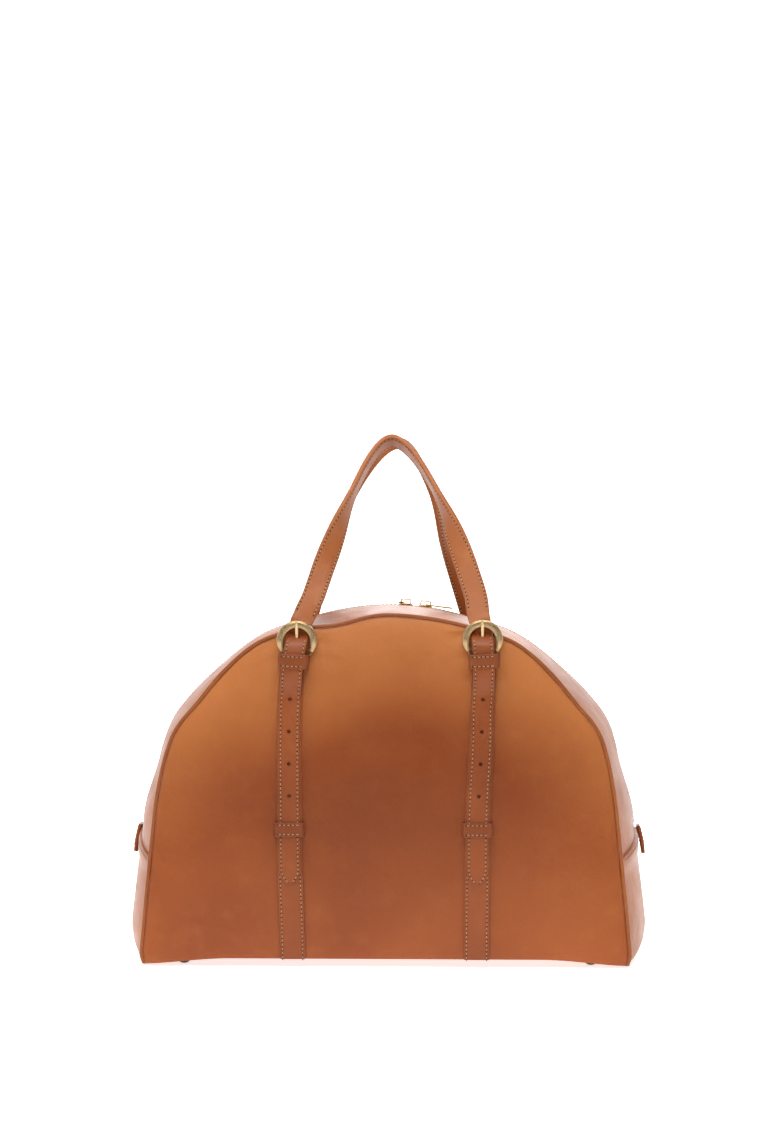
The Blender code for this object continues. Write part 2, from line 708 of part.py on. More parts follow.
def build_slider(name, angle, parent):
    """A plate over the teeth with an arched crown, placed about the centre of the arch."""
    low, high = slider_levels()
    length = SLIDER_LENGTH / 2
    width = SLIDER_WIDTH / 2
    place = Matrix.Translation((0, 0, ARCH_CENTRE_Z)) @ Matrix.Rotation(angle, 4, "Y")
    body = block(name, (-length, -width, ARCH_RADIUS + low), (length, width, ARCH_RADIUS + high))
    slider = add_part(name, body, GOLD, parent, place)

    flange_low = ARCH_RADIUS + tape_top(TEETH_EDGE + GAP) + GAP
    middle = ARCH_RADIUS + (low + high) / 2
    end = length - SLIDER_FLANGE / 2
    flange_far = -width + GAP / 2
    flange = block("flange", (-end, flange_far, flange_low), (end, flange_far + SLIDER_FLANGE, middle))
    apply_tool(slider, flange, "UNION")

    reach = CROWN_LENGTH / 2
    foot = middle
    inner_top = ARCH_RADIUS + high + CROWN_CLEARANCE
    outer_top = inner_top + CROWN_THICKNESS
    bend = reach - CROWN_CORNER
    inner = reach - CROWN_THICKNESS
    outline = [
        (-reach, foot), (-reach, outer_top - CROWN_CORNER), (-bend, outer_top), (bend, outer_top),
        (reach, outer_top - CROWN_CORNER), (reach, foot), (inner, foot), (inner, inner_top),
        (-inner, inner_top), (-inner, foot),
    ]
    arch = solid_from_curve(plate("crown", [outline], CROWN_WIDTH), "crown")
    arch.transform(Matrix.Rotation(pi / 2, 4, "X"))
    apply_tool(slider, arch, "UNION")
    return slider


def puller_mesh(name, eye_start):
    """A flat puller along local X; its eye begins at a distance from the local origin."""
    low = eye_start - PULLER_END_BAR
    body = cut_corners(PULLER_WIDTH, low, low + PULLER_LENGTH, PULLER_CORNER)
    eye_half = PULLER_EYE_WIDTH / 2
    eye_end = eye_start + PULLER_EYE_LENGTH
    eye = [(eye_start, -eye_half), (eye_start, eye_half), (eye_end, eye_half), (eye_end, -eye_half)]
    return plate(name, [body, eye], PULLER_THICKNESS)


def crown_leg_place(angle, side, height):
    """The middle of a crown's leg, at a height above the slider's plate."""
    out = ARCH_RADIUS + slider_levels()[1] + height
    across = side * (CROWN_LENGTH / 2 - CROWN_THICKNESS / 2)
    about = Matrix.Translation((0, 0, ARCH_CENTRE_Z)) @ Matrix.Rotation(angle, 4, "Y")
    return about @ Matrix.Translation((across, 0, out))


def build_zip_pulls(front_hinge):
    level = CROWN_CLEARANCE / 2
    arch_pivot = add_pivot("slider_travel_pivot", (0, 0, ARCH_CENTRE_Z), front_hinge)
    left = build_slider("left_slider", LEFT_SLIDER_ANGLE, arch_pivot)
    right = build_slider("right_slider", RIGHT_SLIDER_ANGLE, arch_pivot)

    swing_place = crown_leg_place(LEFT_SLIDER_ANGLE, -1, level) @ Matrix.Rotation(pi / 2, 4, "Z")
    left_puller = puller_mesh("left_puller", -PULLER_EYE_LENGTH / 2)
    add_part("left_puller", left_puller, GOLD, left, swing_place)

    back_from_leg = -PULLER_EYE_LENGTH / 2 - PULLER_END_BAR / 2
    flip_place = crown_leg_place(RIGHT_SLIDER_ANGLE, 1, level) @ Matrix.Translation((back_from_leg, 0, 0))
    right_puller = puller_mesh("right_puller", PULLER_END_BAR / 2)
    add_part("right_puller", right_puller, GOLD, right, flip_place)


def build_end_tabs():
    """Folded leather tabs that hang from the zip's ends and lean away from the bag."""
    for side, name in ((1, "right_end_tab"), (-1, "left_end_tab")):
        station = side_station(ZIP_END_HEIGHT)
        top = at_depth(station, crown_offset(0) + GAP * 2, 0)
        outline = cut_corners(TAB_WIDTH, 0, TAB_LENGTH, TAB_CORNER)
        lean = Matrix.Rotation(-TAB_LEAN, 4, "Y")
        hang = Matrix.Translation((TAB_THICKNESS / 2, 0, 0)) @ Matrix.Rotation(pi / 2, 4, "Y")
        place = Matrix.Translation(top) @ lean @ hang
        if side < 0:
            place = BACK @ place
        add_part(name, plate(name, [outline], TAB_THICKNESS), STRAP_LEATHER, place=place)


clear_scene()
PARTS = make_collection("weekender_bag")
TOOLS = make_collection("cutting_tools")
build_base()
front_hinge = build_half(FRONT, "front")
build_half(BACK, "back")
build_zip_pulls(front_hinge)
build_end_tabs()
bpy.context.view_layer.update()
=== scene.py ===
"""Looks of a weekender bag in waxed cognac leather: shell, straps, buckles, handles and zip."""

from math import atan2, cos, exp, pi, radians, sin, sqrt, tan

import bmesh
import bpy
from bpy.props import FloatProperty, PointerProperty
from mathutils import Matrix, Vector, noise


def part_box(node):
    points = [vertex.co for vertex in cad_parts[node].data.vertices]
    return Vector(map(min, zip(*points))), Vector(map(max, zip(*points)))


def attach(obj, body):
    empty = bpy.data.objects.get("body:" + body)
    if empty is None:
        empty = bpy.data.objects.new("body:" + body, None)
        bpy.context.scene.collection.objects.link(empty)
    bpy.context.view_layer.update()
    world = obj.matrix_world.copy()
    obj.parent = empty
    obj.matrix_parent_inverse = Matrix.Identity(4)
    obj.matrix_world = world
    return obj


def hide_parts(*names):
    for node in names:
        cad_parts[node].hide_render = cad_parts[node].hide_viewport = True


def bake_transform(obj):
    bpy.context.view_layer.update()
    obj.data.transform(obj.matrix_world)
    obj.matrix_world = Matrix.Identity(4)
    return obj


bl_info = {
    "name": "Weekender Bag Looks",
    "version": (1, 0, 0),
    "blender": (4, 5, 0),
    "location": "View3D > Sidebar > Bag",
    "description": "Builds the soft leather, metal and thread of a weekender bag around its frame",
    "category": "Object",
}

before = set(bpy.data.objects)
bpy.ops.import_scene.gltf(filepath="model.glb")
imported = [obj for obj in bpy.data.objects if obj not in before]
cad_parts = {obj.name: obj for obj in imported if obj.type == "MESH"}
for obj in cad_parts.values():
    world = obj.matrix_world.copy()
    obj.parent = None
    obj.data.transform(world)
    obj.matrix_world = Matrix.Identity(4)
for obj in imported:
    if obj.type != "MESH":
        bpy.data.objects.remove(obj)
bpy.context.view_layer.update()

# Places shared with the frame, in metres
HALF_DEPTH = 0.110
INNER_DEPTH = 0.1067
FOOT_HEIGHT = 0.008
HALF_WIDTH = 0.2345
DOME_TOP = 0.346
SIDE_LEAN = radians(5.7)
SHOULDER_RADIUS = 0.045
SHOULDER_Z = 0.218
ZIP_END_HEIGHT = 0.126
GUSSET_CORNER_HEIGHT = 0.106
STRAP_X = 0.0915
RIM_DROP = 0.0084
LOWER_KEEPER_Z = 0.1365
KEEPER_GAP = 0.0009
PULLER_START = -0.0040
BAR_DROP = 0.0125
LEFT_SLIDER_ANGLE = radians(3.5)
RIGHT_SLIDER_ANGLE = radians(7.8)

SIDE_SLOPE = tan(SIDE_LEAN)
SHOULDER_X = HALF_WIDTH - (SHOULDER_Z - FOOT_HEIGHT) * SIDE_SLOPE - SHOULDER_RADIUS / cos(SIDE_LEAN)
DOME_RISE = DOME_TOP - SHOULDER_Z
ARCH_RADIUS = (SHOULDER_X**2 + DOME_RISE**2 - SHOULDER_RADIUS**2) / (2 * (DOME_RISE - SHOULDER_RADIUS))
ARCH_Z = DOME_TOP - ARCH_RADIUS
ARCH_TURN = atan2(SHOULDER_X, SHOULDER_Z - ARCH_Z)
ARCH_LENGTH = ARCH_RADIUS * ARCH_TURN
SHOULDER_LENGTH = SHOULDER_RADIUS * (pi / 2 - SIDE_LEAN - ARCH_TURN)
BUCKLE_Z = ARCH_Z + sqrt(ARCH_RADIUS**2 - STRAP_X**2) - RIM_DROP
BAR_Z = BUCKLE_Z - BAR_DROP
FRONT = Matrix.Identity(4)
BACK = Matrix.Rotation(pi, 4, "Z")
SIDES = ((FRONT, "front"), (BACK, "back"))
HANDS = ((-1, "left"), (1, "right"))


# How far the relaxed leather moves at its sides, rim, bottom corners and shoulders
LEFT_SPREAD = 0.0062
RIGHT_SPREAD = 0.0038
RIM_FILL = 0.0030
CORNER_TUCK = 0.0055
SHOULDER_LIFT = 0.0036


# Settings


def metres(name, description, default):
    """A length that a user can change, in metres."""
    return FloatProperty(name=name, description=description, default=default, subtype="DISTANCE")


class BodySettings(bpy.types.PropertyGroup):
    """How the leather shell fills and sags."""

    pillow: metres("Pillow", "How far the panels stand out in the middle", 0.0135)
    end_bulge: metres("End bulge", "How far the ends fill out at half height", 0.0240)
    top_bulge: metres("Top bulge", "How far the top fills out along the zip", 0.0085)
    droop: metres("Corner droop", "How far the bottom corners sink between the feet", 0.0055)
    sag: metres("Shoulder sag", "How far the panels draw in at the shoulders", 0.0092)
    ripple: metres("Ripple", "Height of the slow waves in the leather", 0.0014)
    leather: metres("Leather", "Thickness of the shell's leather", 0.0022)
    piping: metres("Piping", "Radius of the piping round the panels", 0.0019)


class StrapSettings(bpy.types.PropertyGroup):
    """Sizes of the straps, their keepers and the buckles."""

    base_width: metres("Base strap width", "Width of the straps sewn to the panels", 0.0245)
    tail_width: metres("Tail width", "Width of the handle tails below the buckles", 0.0212)
    thickness: metres("Thickness", "Thickness of the strap leather", 0.0024)
    tip_height: metres("Tip height", "Height of the tail's pointed end", 0.083)
    hole_radius: metres("Hole radius", "Radius of the punched holes", 0.0019)
    hole_pitch: metres("Hole pitch", "Distance between two punched holes", 0.0314)
    ring_radius: metres("Ring radius", "Radius of the buckle's ring along its middle", 0.0165)
    ring_band: metres("Ring band", "Width of the buckle's ring seen from the front", 0.0072)
    prong: metres("Prong", "Radius of the buckle's prong", 0.0017)
    keeper_height: metres("Keeper height", "Height of the strap keepers", 0.0140)


class HandleSettings(bpy.types.PropertyGroup):
    """Shape of the two handles."""

    length: metres("Length", "Height of the arch above the buckle's ring", 0.204)
    lean: FloatProperty(name="Lean", description="How far each handle leans towards the other",
                        default=radians(25), subtype="ANGLE")
    width: metres("Width", "Width of the handle strap", 0.0225)
    thickness: metres("Thickness", "Thickness of the doubled handle strap", 0.0046)
    front_top: metres("Front top", "How far the front arch's top stands to the right", 0.0030)
    back_top: metres("Back top", "How far the back arch's top stands to the right", 0.0080)
    leg_shift: metres("Leg shift", "How far the front legs stand to the right", 0.004)
    foot_x: metres("Foot", "Half the distance between the handle's two feet", 0.0884)


class ZipSettings(bpy.types.PropertyGroup):
    """Sizes of the zip."""

    pitch: metres("Pitch", "Distance between two teeth of a row", 0.0028)
    mouth: metres("Mouth", "Half of the gap between the gusset's folded edges", 0.006)
    tape: metres("Tape", "Width of the woven tape beside the teeth", 0.012)


class StitchSettings(bpy.types.PropertyGroup):
    """Sizes of the stitches."""

    spacing: metres("Spacing", "Distance from one needle hole to the next", 0.0042)
    radius: metres("Thread radius", "Radius of the waxed thread", 0.00043)
    inset: metres("Inset", "Distance from an edge to its row of stitches", 0.0024)


class StageSettings(bpy.types.PropertyGroup):
    """Where the camera stands and how long its lens is."""

    distance: metres("Distance", "Distance from the camera to the middle of the bag", 2.71)
    height: metres("Height", "Height of the level camera", 0.394)
    turn: FloatProperty(name="Turn", description="How far the camera stands round to the right",
                        default=radians(2), subtype="ANGLE")
    lens: FloatProperty(name="Lens", description="Focal length in millimetres", default=84.3)


# Helpers


def settings(name):
    return getattr(bpy.context.scene, f"bag_{name}")


def need(*nodes):
    """Stops with a plain error when the frame lacks a node."""
    missing = [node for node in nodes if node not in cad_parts]
    if missing:
        raise RuntimeError(f"the frame has no {', '.join(missing)}")


def smooth(value, low, high):
    """0 below low, 1 above high, and an eased step between them."""
    share = min(max((value - low) / (high - low), 0), 1)
    return share * share * (3 - 2 * share)


def bell(value, middle, spread):
    return exp(-(((value - middle) / spread) ** 2))


def along_table(table, at):
    """Eased values between the rows of a short (place, value) table."""
    if at <= table[0][0]:
        return table[0][1]
    for (low, before), (high, after) in zip(table, table[1:]):
        if at <= high:
            return before + (after - before) * smooth(at, low, high)
    return table[-1][1]


def make_object(name, points, faces):
    data = bpy.data.meshes.new(name)
    data.from_pydata([tuple(point) for point in points], [], faces)
    shaped = bmesh.new()
    shaped.from_mesh(data)
    bmesh.ops.recalc_face_normals(shaped, faces=shaped.faces)
    shaped.to_mesh(data)
    shaped.free()
    data.shade_smooth()
    data.set_sharp_from_angle(angle=radians(42))
    made = bpy.data.objects.new(name, data)
    bpy.context.scene.collection.objects.link(made)
    return made


def tube_faces(first, rows, count):
    """The faces of a closed tube whose rings of points follow each other from the first."""
    faces = []
    for i in range(rows - 1):
        low, high = first + i * count, first + (i + 1) * count
        for j in range(count):
            k = (j + 1) % count
            faces.append((low + j, low + k, high + k, high + j))
    faces.append(tuple(range(first, first + count)))
    faces.append(tuple(range(first + (rows - 1) * count, first + rows * count)))
    return faces


def shell(name, rings, loop=False):
    """A closed surface through rings with the same number of points."""
    count = len(rings[0])
    points = [point for ring in rings for point in ring]
    if not loop:
        return make_object(name, points, tube_faces(0, len(rings), count))
    faces = []
    for i in range(len(rings)):
        low, high = i * count, (i + 1) % len(rings) * count
        for j in range(count):
            k = (j + 1) % count
            faces.append((low + j, low + k, high + k, high + j))
    return make_object(name, points, faces)


def bevelled(piece, width, segments=3):
    edge = piece.modifiers.new("Edge", "BEVEL")
    edge.width = width
    edge.segments = segments
    edge.limit_method = "ANGLE"
    edge.angle_limit = radians(35)
    return piece


def dress(piece, material):
    piece.data.materials.append(material)
    return piece


def settle_on(piece, body, *nodes):
    """The piece rides on a body and stands for the nodes named."""
    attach(piece, body)
    if nodes:
        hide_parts(*nodes)


# The bag's outline and how the leather lies


def dome_at(along):
    """A point of the dome's outline, a signed distance from its top, and its outward normal."""
    side = 1 if along >= 0 else -1
    run = abs(along)
    if run <= ARCH_LENGTH:
        angle = run / ARCH_RADIUS
        x, z = ARCH_RADIUS * sin(angle), ARCH_Z + ARCH_RADIUS * cos(angle)
    elif run <= ARCH_LENGTH + SHOULDER_LENGTH:
        angle = ARCH_TURN + (run - ARCH_LENGTH) / SHOULDER_RADIUS
        x, z = SHOULDER_X + SHOULDER_RADIUS * sin(angle), SHOULDER_Z + SHOULDER_RADIUS * cos(angle)
    else:
        angle = pi / 2 - SIDE_LEAN
        down = run - ARCH_LENGTH - SHOULDER_LENGTH
        x = SHOULDER_X + SHOULDER_RADIUS * sin(angle) + down * sin(SIDE_LEAN)
        z = SHOULDER_Z + SHOULDER_RADIUS * cos(angle) - down * cos(SIDE_LEAN)
    return Vector((side * x, 0, z)), Vector((side * sin(angle), 0, cos(angle)))


def dome_run(height):
    """How far from the dome's top its outline comes down to a height on the straight side."""
    shoulder_end = SHOULDER_Z + SHOULDER_RADIUS * sin(SIDE_LEAN)
    return ARCH_LENGTH + SHOULDER_LENGTH + (shoulder_end - height) / cos(SIDE_LEAN)


def half_width(z):
    """Half the panel's width at a height."""
    if z >= ARCH_Z + ARCH_RADIUS * cos(ARCH_TURN):
        return sqrt(max(ARCH_RADIUS**2 - (z - ARCH_Z) ** 2, 0))
    if z >= SHOULDER_Z + SHOULDER_RADIUS * sin(SIDE_LEAN):
        return SHOULDER_X + sqrt(max(SHOULDER_RADIUS**2 - (z - SHOULDER_Z) ** 2, 0))
    return HALF_WIDTH - (z - FOOT_HEIGHT) * SIDE_SLOPE


def top_at(x):
    """The outline's height above a place across the panel."""
    if abs(x) <= ARCH_RADIUS * sin(ARCH_TURN):
        return ARCH_Z + sqrt(ARCH_RADIUS**2 - x * x)
    over = max(SHOULDER_RADIUS**2 - (abs(x) - SHOULDER_X) ** 2, 0)
    return SHOULDER_Z + sqrt(over)


def pillow(x, z):
    """How far the panel stands out at a place on its face."""
    body = settings("body")
    aside = max(half_width(z) - abs(x), 0)
    above = max(top_at(x) - z, 0)
    below = max(z - FOOT_HEIGHT, 0)
    full = (1 - exp(-aside / 0.050)) * (1 - exp(-above / 0.060)) * (1 - exp(-below / 0.070))
    edge = exp(-min(aside, above, below) / 0.0028)
    slow = noise.noise(Vector((x * 7 + 3.1, 0.4, z * 9)))
    quick = noise.noise(Vector((x * 24, 1.7, z * 30 + 2.3)))
    wave = body.ripple * (slow + 0.22 * quick) * full
    return body.pillow * full + wave + creases(x, z) - 0.0016 * edge


def creases(x, z):
    """Fine folds where the buckles pull on the panel and below the dome's top."""
    pull = 0
    for hand, _ in HANDS:
        away = Vector((x - hand * STRAP_X, 0, (z - BUCKLE_Z + 0.02) * 1.3)).length
        pull = max(pull, bell(away, 0.028, 0.034))
    pull = max(pull, 0.5 * bell(z, 0.315, 0.018) * (1 - smooth(abs(x), 0.06, 0.10)))
    if pull < 0.02:
        return 0
    turned = Vector((x * 38 + z * 22, 6.1, z * 95 - x * 20))
    ridge = 1 - abs(noise.noise(turned)) * 2.2
    return 0.0011 * pull * (ridge - 0.5)


def end_fill(z):
    """How far the gusset stands out from the outline at its middle, at a height."""
    body = settings("body")
    table = (
        (FOOT_HEIGHT, body.end_bulge * 0.78), (0.036, body.end_bulge), (0.140, body.end_bulge * 0.94),
        (0.205, body.end_bulge * 0.64), (0.250, body.top_bulge * 1.25), (0.290, body.top_bulge * 1.1),
        (0.338, body.top_bulge),
    )
    return along_table(table, z)


def gusset_offset(z, y):
    share = min(abs(y) / INNER_DEPTH, 1)
    return end_fill(z) * (1 - share**2.3)


def settle(point):
    """How a point of the shell moves as the leather relaxes: the sides spread and the top dips."""
    body = settings("body")
    x, y, z = point
    deep = min(abs(y) / HALF_DEPTH, 1)
    out = smooth(abs(x), 0.10, 0.21)
    spread = LEFT_SPREAD if x < 0 else RIGHT_SPREAD
    spread *= 1 - smooth(z, 0.15, 0.24)
    full = RIM_FILL * bell(z, 0.312, 0.022) * (1 - deep) * out
    full -= body.sag * bell(z, 0.257, 0.034) * deep * sqrt(deep) * smooth(abs(x), 0.11, 0.17)
    dip = -0.0072 * bell(x, -0.048, 0.030) - 0.002 * bell(x, 0.03, 0.05)
    dip *= smooth(z, 0.29, 0.345) * deep * deep
    full -= CORNER_TUCK * (1 - smooth(z, 0.002, 0.020)) * smooth(abs(x), 0.205, 0.232)
    lift = SHOULDER_LIFT * bell(abs(x), 0.128, 0.028) * smooth(z, 0.27, 0.32)
    droop = -body.droop * smooth(abs(x), 0.15, 0.235) * (1 - smooth(z, 0.01, 0.08)) * smooth(deep, 0.45, 1)
    return Vector((x + (1 if x > 0 else -1) * (spread * out + full), y, z + dip + lift + droop))


def strap_x(hand, z):
    """The middle of a strap across the bag, as it wanders from its foot to its buckle."""
    if hand < 0:
        drawn = 0.0165 * max((z - 0.22) / 0.14, 0) ** 2.48
        return along_table(((0.01, -0.0915), (0.13, -0.0942), (0.22, -0.0945)), z) + drawn
    drawn = 0.0093 * max((z - 0.295) / 0.065, 0) ** 2
    return along_table(((0.01, 0.0887), (0.13, 0.0896), (0.24, 0.0940), (0.29, 0.0960)), z) - drawn


def on_panel(hand, offset, z):
    """A place on a strap's middle line, a distance in front of the leather."""
    x = strap_x(hand, z)
    return Vector((x, -HALF_DEPTH - max(pillow(x, z), 0) - offset, z))


# Stitches: short rounded threads and, between them, dark discs painted as the needle holes' shadow


class Sewing:
    """Collects the stitches of one piece and makes them a single object."""

    SIDES = 6
    BOW = ((-1.0, 0.25, -1.6), (-0.72, 0.85, -0.2), (0.0, 1.0, 0.35), (0.72, 0.85, -0.2), (1.0, 0.25, -1.6))

    def __init__(self, name):
        self.name = name
        self.points, self.faces, self.holes = [], [], []

    def stitch(self, start, end, out):
        sizes = settings("stitch")
        middle, half = (start + end) / 2, (end - start) / 2 * 0.84
        across = half.normalized().cross(out).normalized()
        first = len(self.points)
        for place, width, lift in self.BOW:
            centre = middle + half * place + out * sizes.radius * lift
            for i in range(self.SIDES):
                angle = 2 * pi * i / self.SIDES
                round_to = across * cos(angle) + out * sin(angle)
                self.points.append(centre + round_to * sizes.radius * width)
        self.faces += tube_faces(first, len(self.BOW), self.SIDES)
        self.hole(start, half.normalized(), across, out)

    def hole(self, spot, along, across, out):
        # a dark disc just proud of the leather with a short plug behind it: painted shadow of a needle hole
        radius = settings("stitch").radius * 1.9
        first = len(self.points)
        for i in range(self.SIDES):
            angle = 2 * pi * i / self.SIDES
            self.points.append(spot + (along * cos(angle) + across * sin(angle)) * radius + out * 0.00012)
        for i in range(self.SIDES):
            low = self.points[first + i]
            self.points.append(low - out * 0.0005)
        self.holes.append(len(self.faces))
        self.faces.append(tuple(range(first, first + self.SIDES)))
        self.faces.append(tuple(range(first + self.SIDES, first + 2 * self.SIDES)))
        for i in range(self.SIDES):
            j = (i + 1) % self.SIDES
            self.faces.append((first + i, first + j, first + self.SIDES + j, first + self.SIDES + i))

    def row(self, line):
        """Stitches along a line of (point, outward direction) pairs."""
        spacing = settings("stitch").spacing
        marks, left = [line[0]], spacing
        for (a, out_a), (b, out_b) in zip(line, line[1:]):
            length = (b - a).length
            at = left
            while at <= length:
                share = at / length
                marks.append((a.lerp(b, share), out_a.lerp(out_b, share).normalized()))
                at += spacing
            left = at - length
        for (a, out_a), (b, out_b) in zip(marks, marks[1:]):
            self.stitch(a, b, (out_a + out_b).normalized())

    def finish(self):
        piece = make_object(self.name, self.points, self.faces)
        piece.data.materials.append(MATERIALS["thread"])
        piece.data.materials.append(MATERIALS["needle_hole_shadow"])
        per_hole = 2 + self.SIDES
        for start in self.holes:
            for face in range(start, start + per_hole):
                piece.data.polygons[face].material_index = 1
        return piece


# Straps as ribbons


def strap_profile(half, thick, groove):
    """Half-width, half-thickness and the groove's inset give the points round a strap's section."""
    rim = min(thick * 0.75, 0.0011)
    dent = 0.00022
    face = [-half + rim, -half + groove - 0.0009, -half + groove, -half + groove + 0.0009]
    crown = 0.0002
    outer = []
    for across in face + [-half * 0.4, 0, half * 0.4] + [-value for value in reversed(face)]:
        level = thick + crown * (1 - (across / half) ** 2)
        if abs(abs(across) - (half - groove)) < 0.00001:
            level -= dent
        outer.append((across, level))
    points = list(outer)
    points += [(half - rim * 0.3, thick - rim * 0.3), (half, thick - rim), (half, -thick + rim)]
    points += [(half - rim * 0.3, -thick + rim * 0.3)]
    points += [(half - rim, -thick), (0, -thick), (-half + rim, -thick)]
    points += [(-half + rim * 0.3, -thick + rim * 0.3), (-half, -thick + rim), (-half, thick - rim)]
    points += [(-half + rim * 0.3, thick - rim * 0.3)]
    return points


class Ribbon:
    """A strap along a line of spots, each with the direction across it and its width."""

    def __init__(self, spots, acrosses, widths, thickness):
        self.thick = thickness / 2
        self.stations = []
        for i, spot in enumerate(spots):
            along = (spots[min(i + 1, len(spots) - 1)] - spots[max(i - 1, 0)]).normalized()
            across = acrosses[i]
            across = (across - along * across.dot(along)).normalized()
            self.stations.append((spot, along, across, across.cross(along), widths[i]))

    def mesh(self, name):
        groove = settings("stitch").inset
        rings = []
        for spot, _along, across, out, width in self.stations:
            profile = strap_profile(width / 2, self.thick, min(groove, width / 2 * 0.6))
            rings.append([spot + across * a + out * b for a, b in profile])
        return shell(name, rings)

    def seam(self, side, first=0, last=None, face=1):
        """The stitching line along one edge: side is -1 or 1, face is 1 in front and -1 behind."""
        inset = settings("stitch").inset
        line = []
        for spot, _along, across, out, width in self.stations[first:last]:
            reach = side * max(width / 2 - inset, 0.0004)
            level = self.thick + (0.00003 if face > 0 else 0.0002)
            line.append((spot + across * reach + out * level * face, out * face))
        return line


def arc(centre, radius, start, end, steps):
    """Points on an arc as (offset, height) pairs; angle 0 is outwards and 90 is up."""
    points = []
    for i in range(steps + 1):
        angle = start + (end - start) * i / steps
        points.append((centre[0] + radius * cos(angle), centre[1] + radius * sin(angle)))
    return points


def ramp(start, end, steps):
    points = []
    for i in range(steps + 1):
        share = i / steps
        points.append((start[0] + (end[0] - start[0]) * smooth(share, 0, 1),
                       start[1] + (end[1] - start[1]) * share))
    return points


def strap_levels():
    """The offsets from the leather that the strap's layers share."""
    strap = settings("strap")
    wire = strap.ring_band / 2
    lie = 0.0002 + strap.thickness / 2
    ring = 0.0006 + strap.thickness + wire
    fold = wire + 0.0003 + strap.thickness / 2
    front = ring + fold + strap.thickness + 0.0003
    low = lie + strap.thickness + 0.0002
    return lie, ring, fold, front, low


def placed(facing, spots):
    return [settle(facing @ spot) for spot in spots]


def base_strap(facing, hand, name, half_name):
    strap = settings("strap")
    lie, ring, fold, _front, _low = strap_levels()
    neck = BAR_Z - strap.ring_band / 2
    steps = 46
    path = []
    for i in range(steps + 1):
        z = FOOT_HEIGHT + 0.0005 + (neck - FOOT_HEIGHT - 0.0005) * i / steps
        width = strap.base_width + (strap.tail_width - strap.base_width) * smooth(z, neck - 0.014, neck)
        path.append((lie, z, width))
    path += [(*point, strap.tail_width) for point in arc((ring, BAR_Z), fold, pi, 0, 14)[1:]]
    path += [(ring + fold, BAR_Z - 0.016 * i / 5, strap.tail_width) for i in range(1, 6)]
    spots = placed(facing, [on_panel(hand, offset, z) for offset, z, _ in path])
    across = facing.to_3x3() @ Vector((1, 0, 0))
    ribbon = Ribbon(spots, [across] * len(spots), [width for _, _, width in path], strap.thickness)
    piece = ribbon.mesh(f"{name}_base_strap_leather")
    dress(piece, MATERIALS["strap"])
    settle_on(piece, half_name, f"{name}_base_strap")
    sewing = Sewing(f"{name}_base_strap_stitches")
    for side in (-1, 1):
        sewing.row(ribbon.seam(side, 0, steps - 4))
    settle_on(sewing.finish(), half_name)


def prong_hole_z():
    return BUCKLE_Z + 0.0058


def tail_strap(facing, hand, name, half_name):
    strap = settings("strap")
    lie, _ring, fold, front, low = strap_levels()
    tip = strap.tip_height
    fold_end = BAR_Z - 0.016
    turn_low = BAR_Z + fold + strap.thickness / 2
    turn_high = BUCKLE_Z + strap.ring_radius * 0.62
    point_length = 0.013
    path = []
    for i in range(9):
        share = i / 8
        width = 0.004 + (strap.tail_width - 0.004) * (1 - (1 - share) ** 1.7) ** 0.85
        path.append((low, tip + point_length * share, width))
    ramp_start = fold_end - 0.026
    steps = 36
    run = ramp_start - tip - point_length
    for i in range(1, steps + 1):
        path.append((low, tip + point_length + run * i / steps, strap.tail_width))
    path += [(*point, strap.tail_width) for point in ramp((low, ramp_start), (front, fold_end), 8)[1:]]
    path += [(front, fold_end + (turn_low - fold_end) * i / 4, strap.tail_width) for i in range(1, 5)]
    path += [(*point, strap.tail_width) for point in ramp((front, turn_low), (lie, turn_high), 10)[1:]]
    path.append((lie, BUCKLE_Z + strap.ring_radius, strap.tail_width))
    spots = placed(facing, [on_panel(hand, offset, z) for offset, z, _ in path])
    across = facing.to_3x3() @ Vector((1, 0, 0))
    ribbon = Ribbon(spots, [across] * len(spots), [width for _, _, width in path], strap.thickness)
    piece = ribbon.mesh(f"{name}_strap_tail_leather")
    punch_holes(piece, facing, hand)
    dress(piece, MATERIALS["strap"])
    settle_on(piece, half_name, f"{name}_strap_tail")
    sewing = Sewing(f"{name}_strap_tail_stitches")
    for side in (-1, 1):
        sewing.row(ribbon.seam(side, 1, len(path) - 6))
    settle_on(sewing.finish(), half_name)


def punch_holes(piece, facing, hand):
    """Round holes through the strap, with the prong's hole the highest."""
    strap = settings("strap")
    tool = bmesh.new()
    for i in range(6):
        z = prong_hole_z() - i * strap.hole_pitch
        spot = settle(facing @ on_panel(hand, 0, z))
        radius = strap.hole_radius * (1.25 if i == 0 else 1)
        turn = Matrix.Translation(spot) @ Matrix.Rotation(pi / 2, 4, "X")
        bmesh.ops.create_cone(tool, cap_ends=True, segments=20, radius1=radius, radius2=radius, depth=0.05,
                              matrix=turn)
    data = bpy.data.meshes.new("punch")
    tool.to_mesh(data)
    tool.free()
    punch = bpy.data.objects.new("punch", data)
    bpy.context.scene.collection.objects.link(punch)
    cut = piece.modifiers.new("Holes", "BOOLEAN")
    cut.operation = "DIFFERENCE"
    cut.object = punch
    cut.solver = "EXACT"
    graph = bpy.context.evaluated_depsgraph_get()
    done = bpy.data.meshes.new_from_object(piece.evaluated_get(graph))
    piece.modifiers.clear()
    old = piece.data
    piece.data = done
    bpy.data.meshes.remove(old)
    bpy.data.objects.remove(punch, do_unlink=True)
    bpy.data.meshes.remove(data)
    done.set_sharp_from_angle(angle=radians(42))


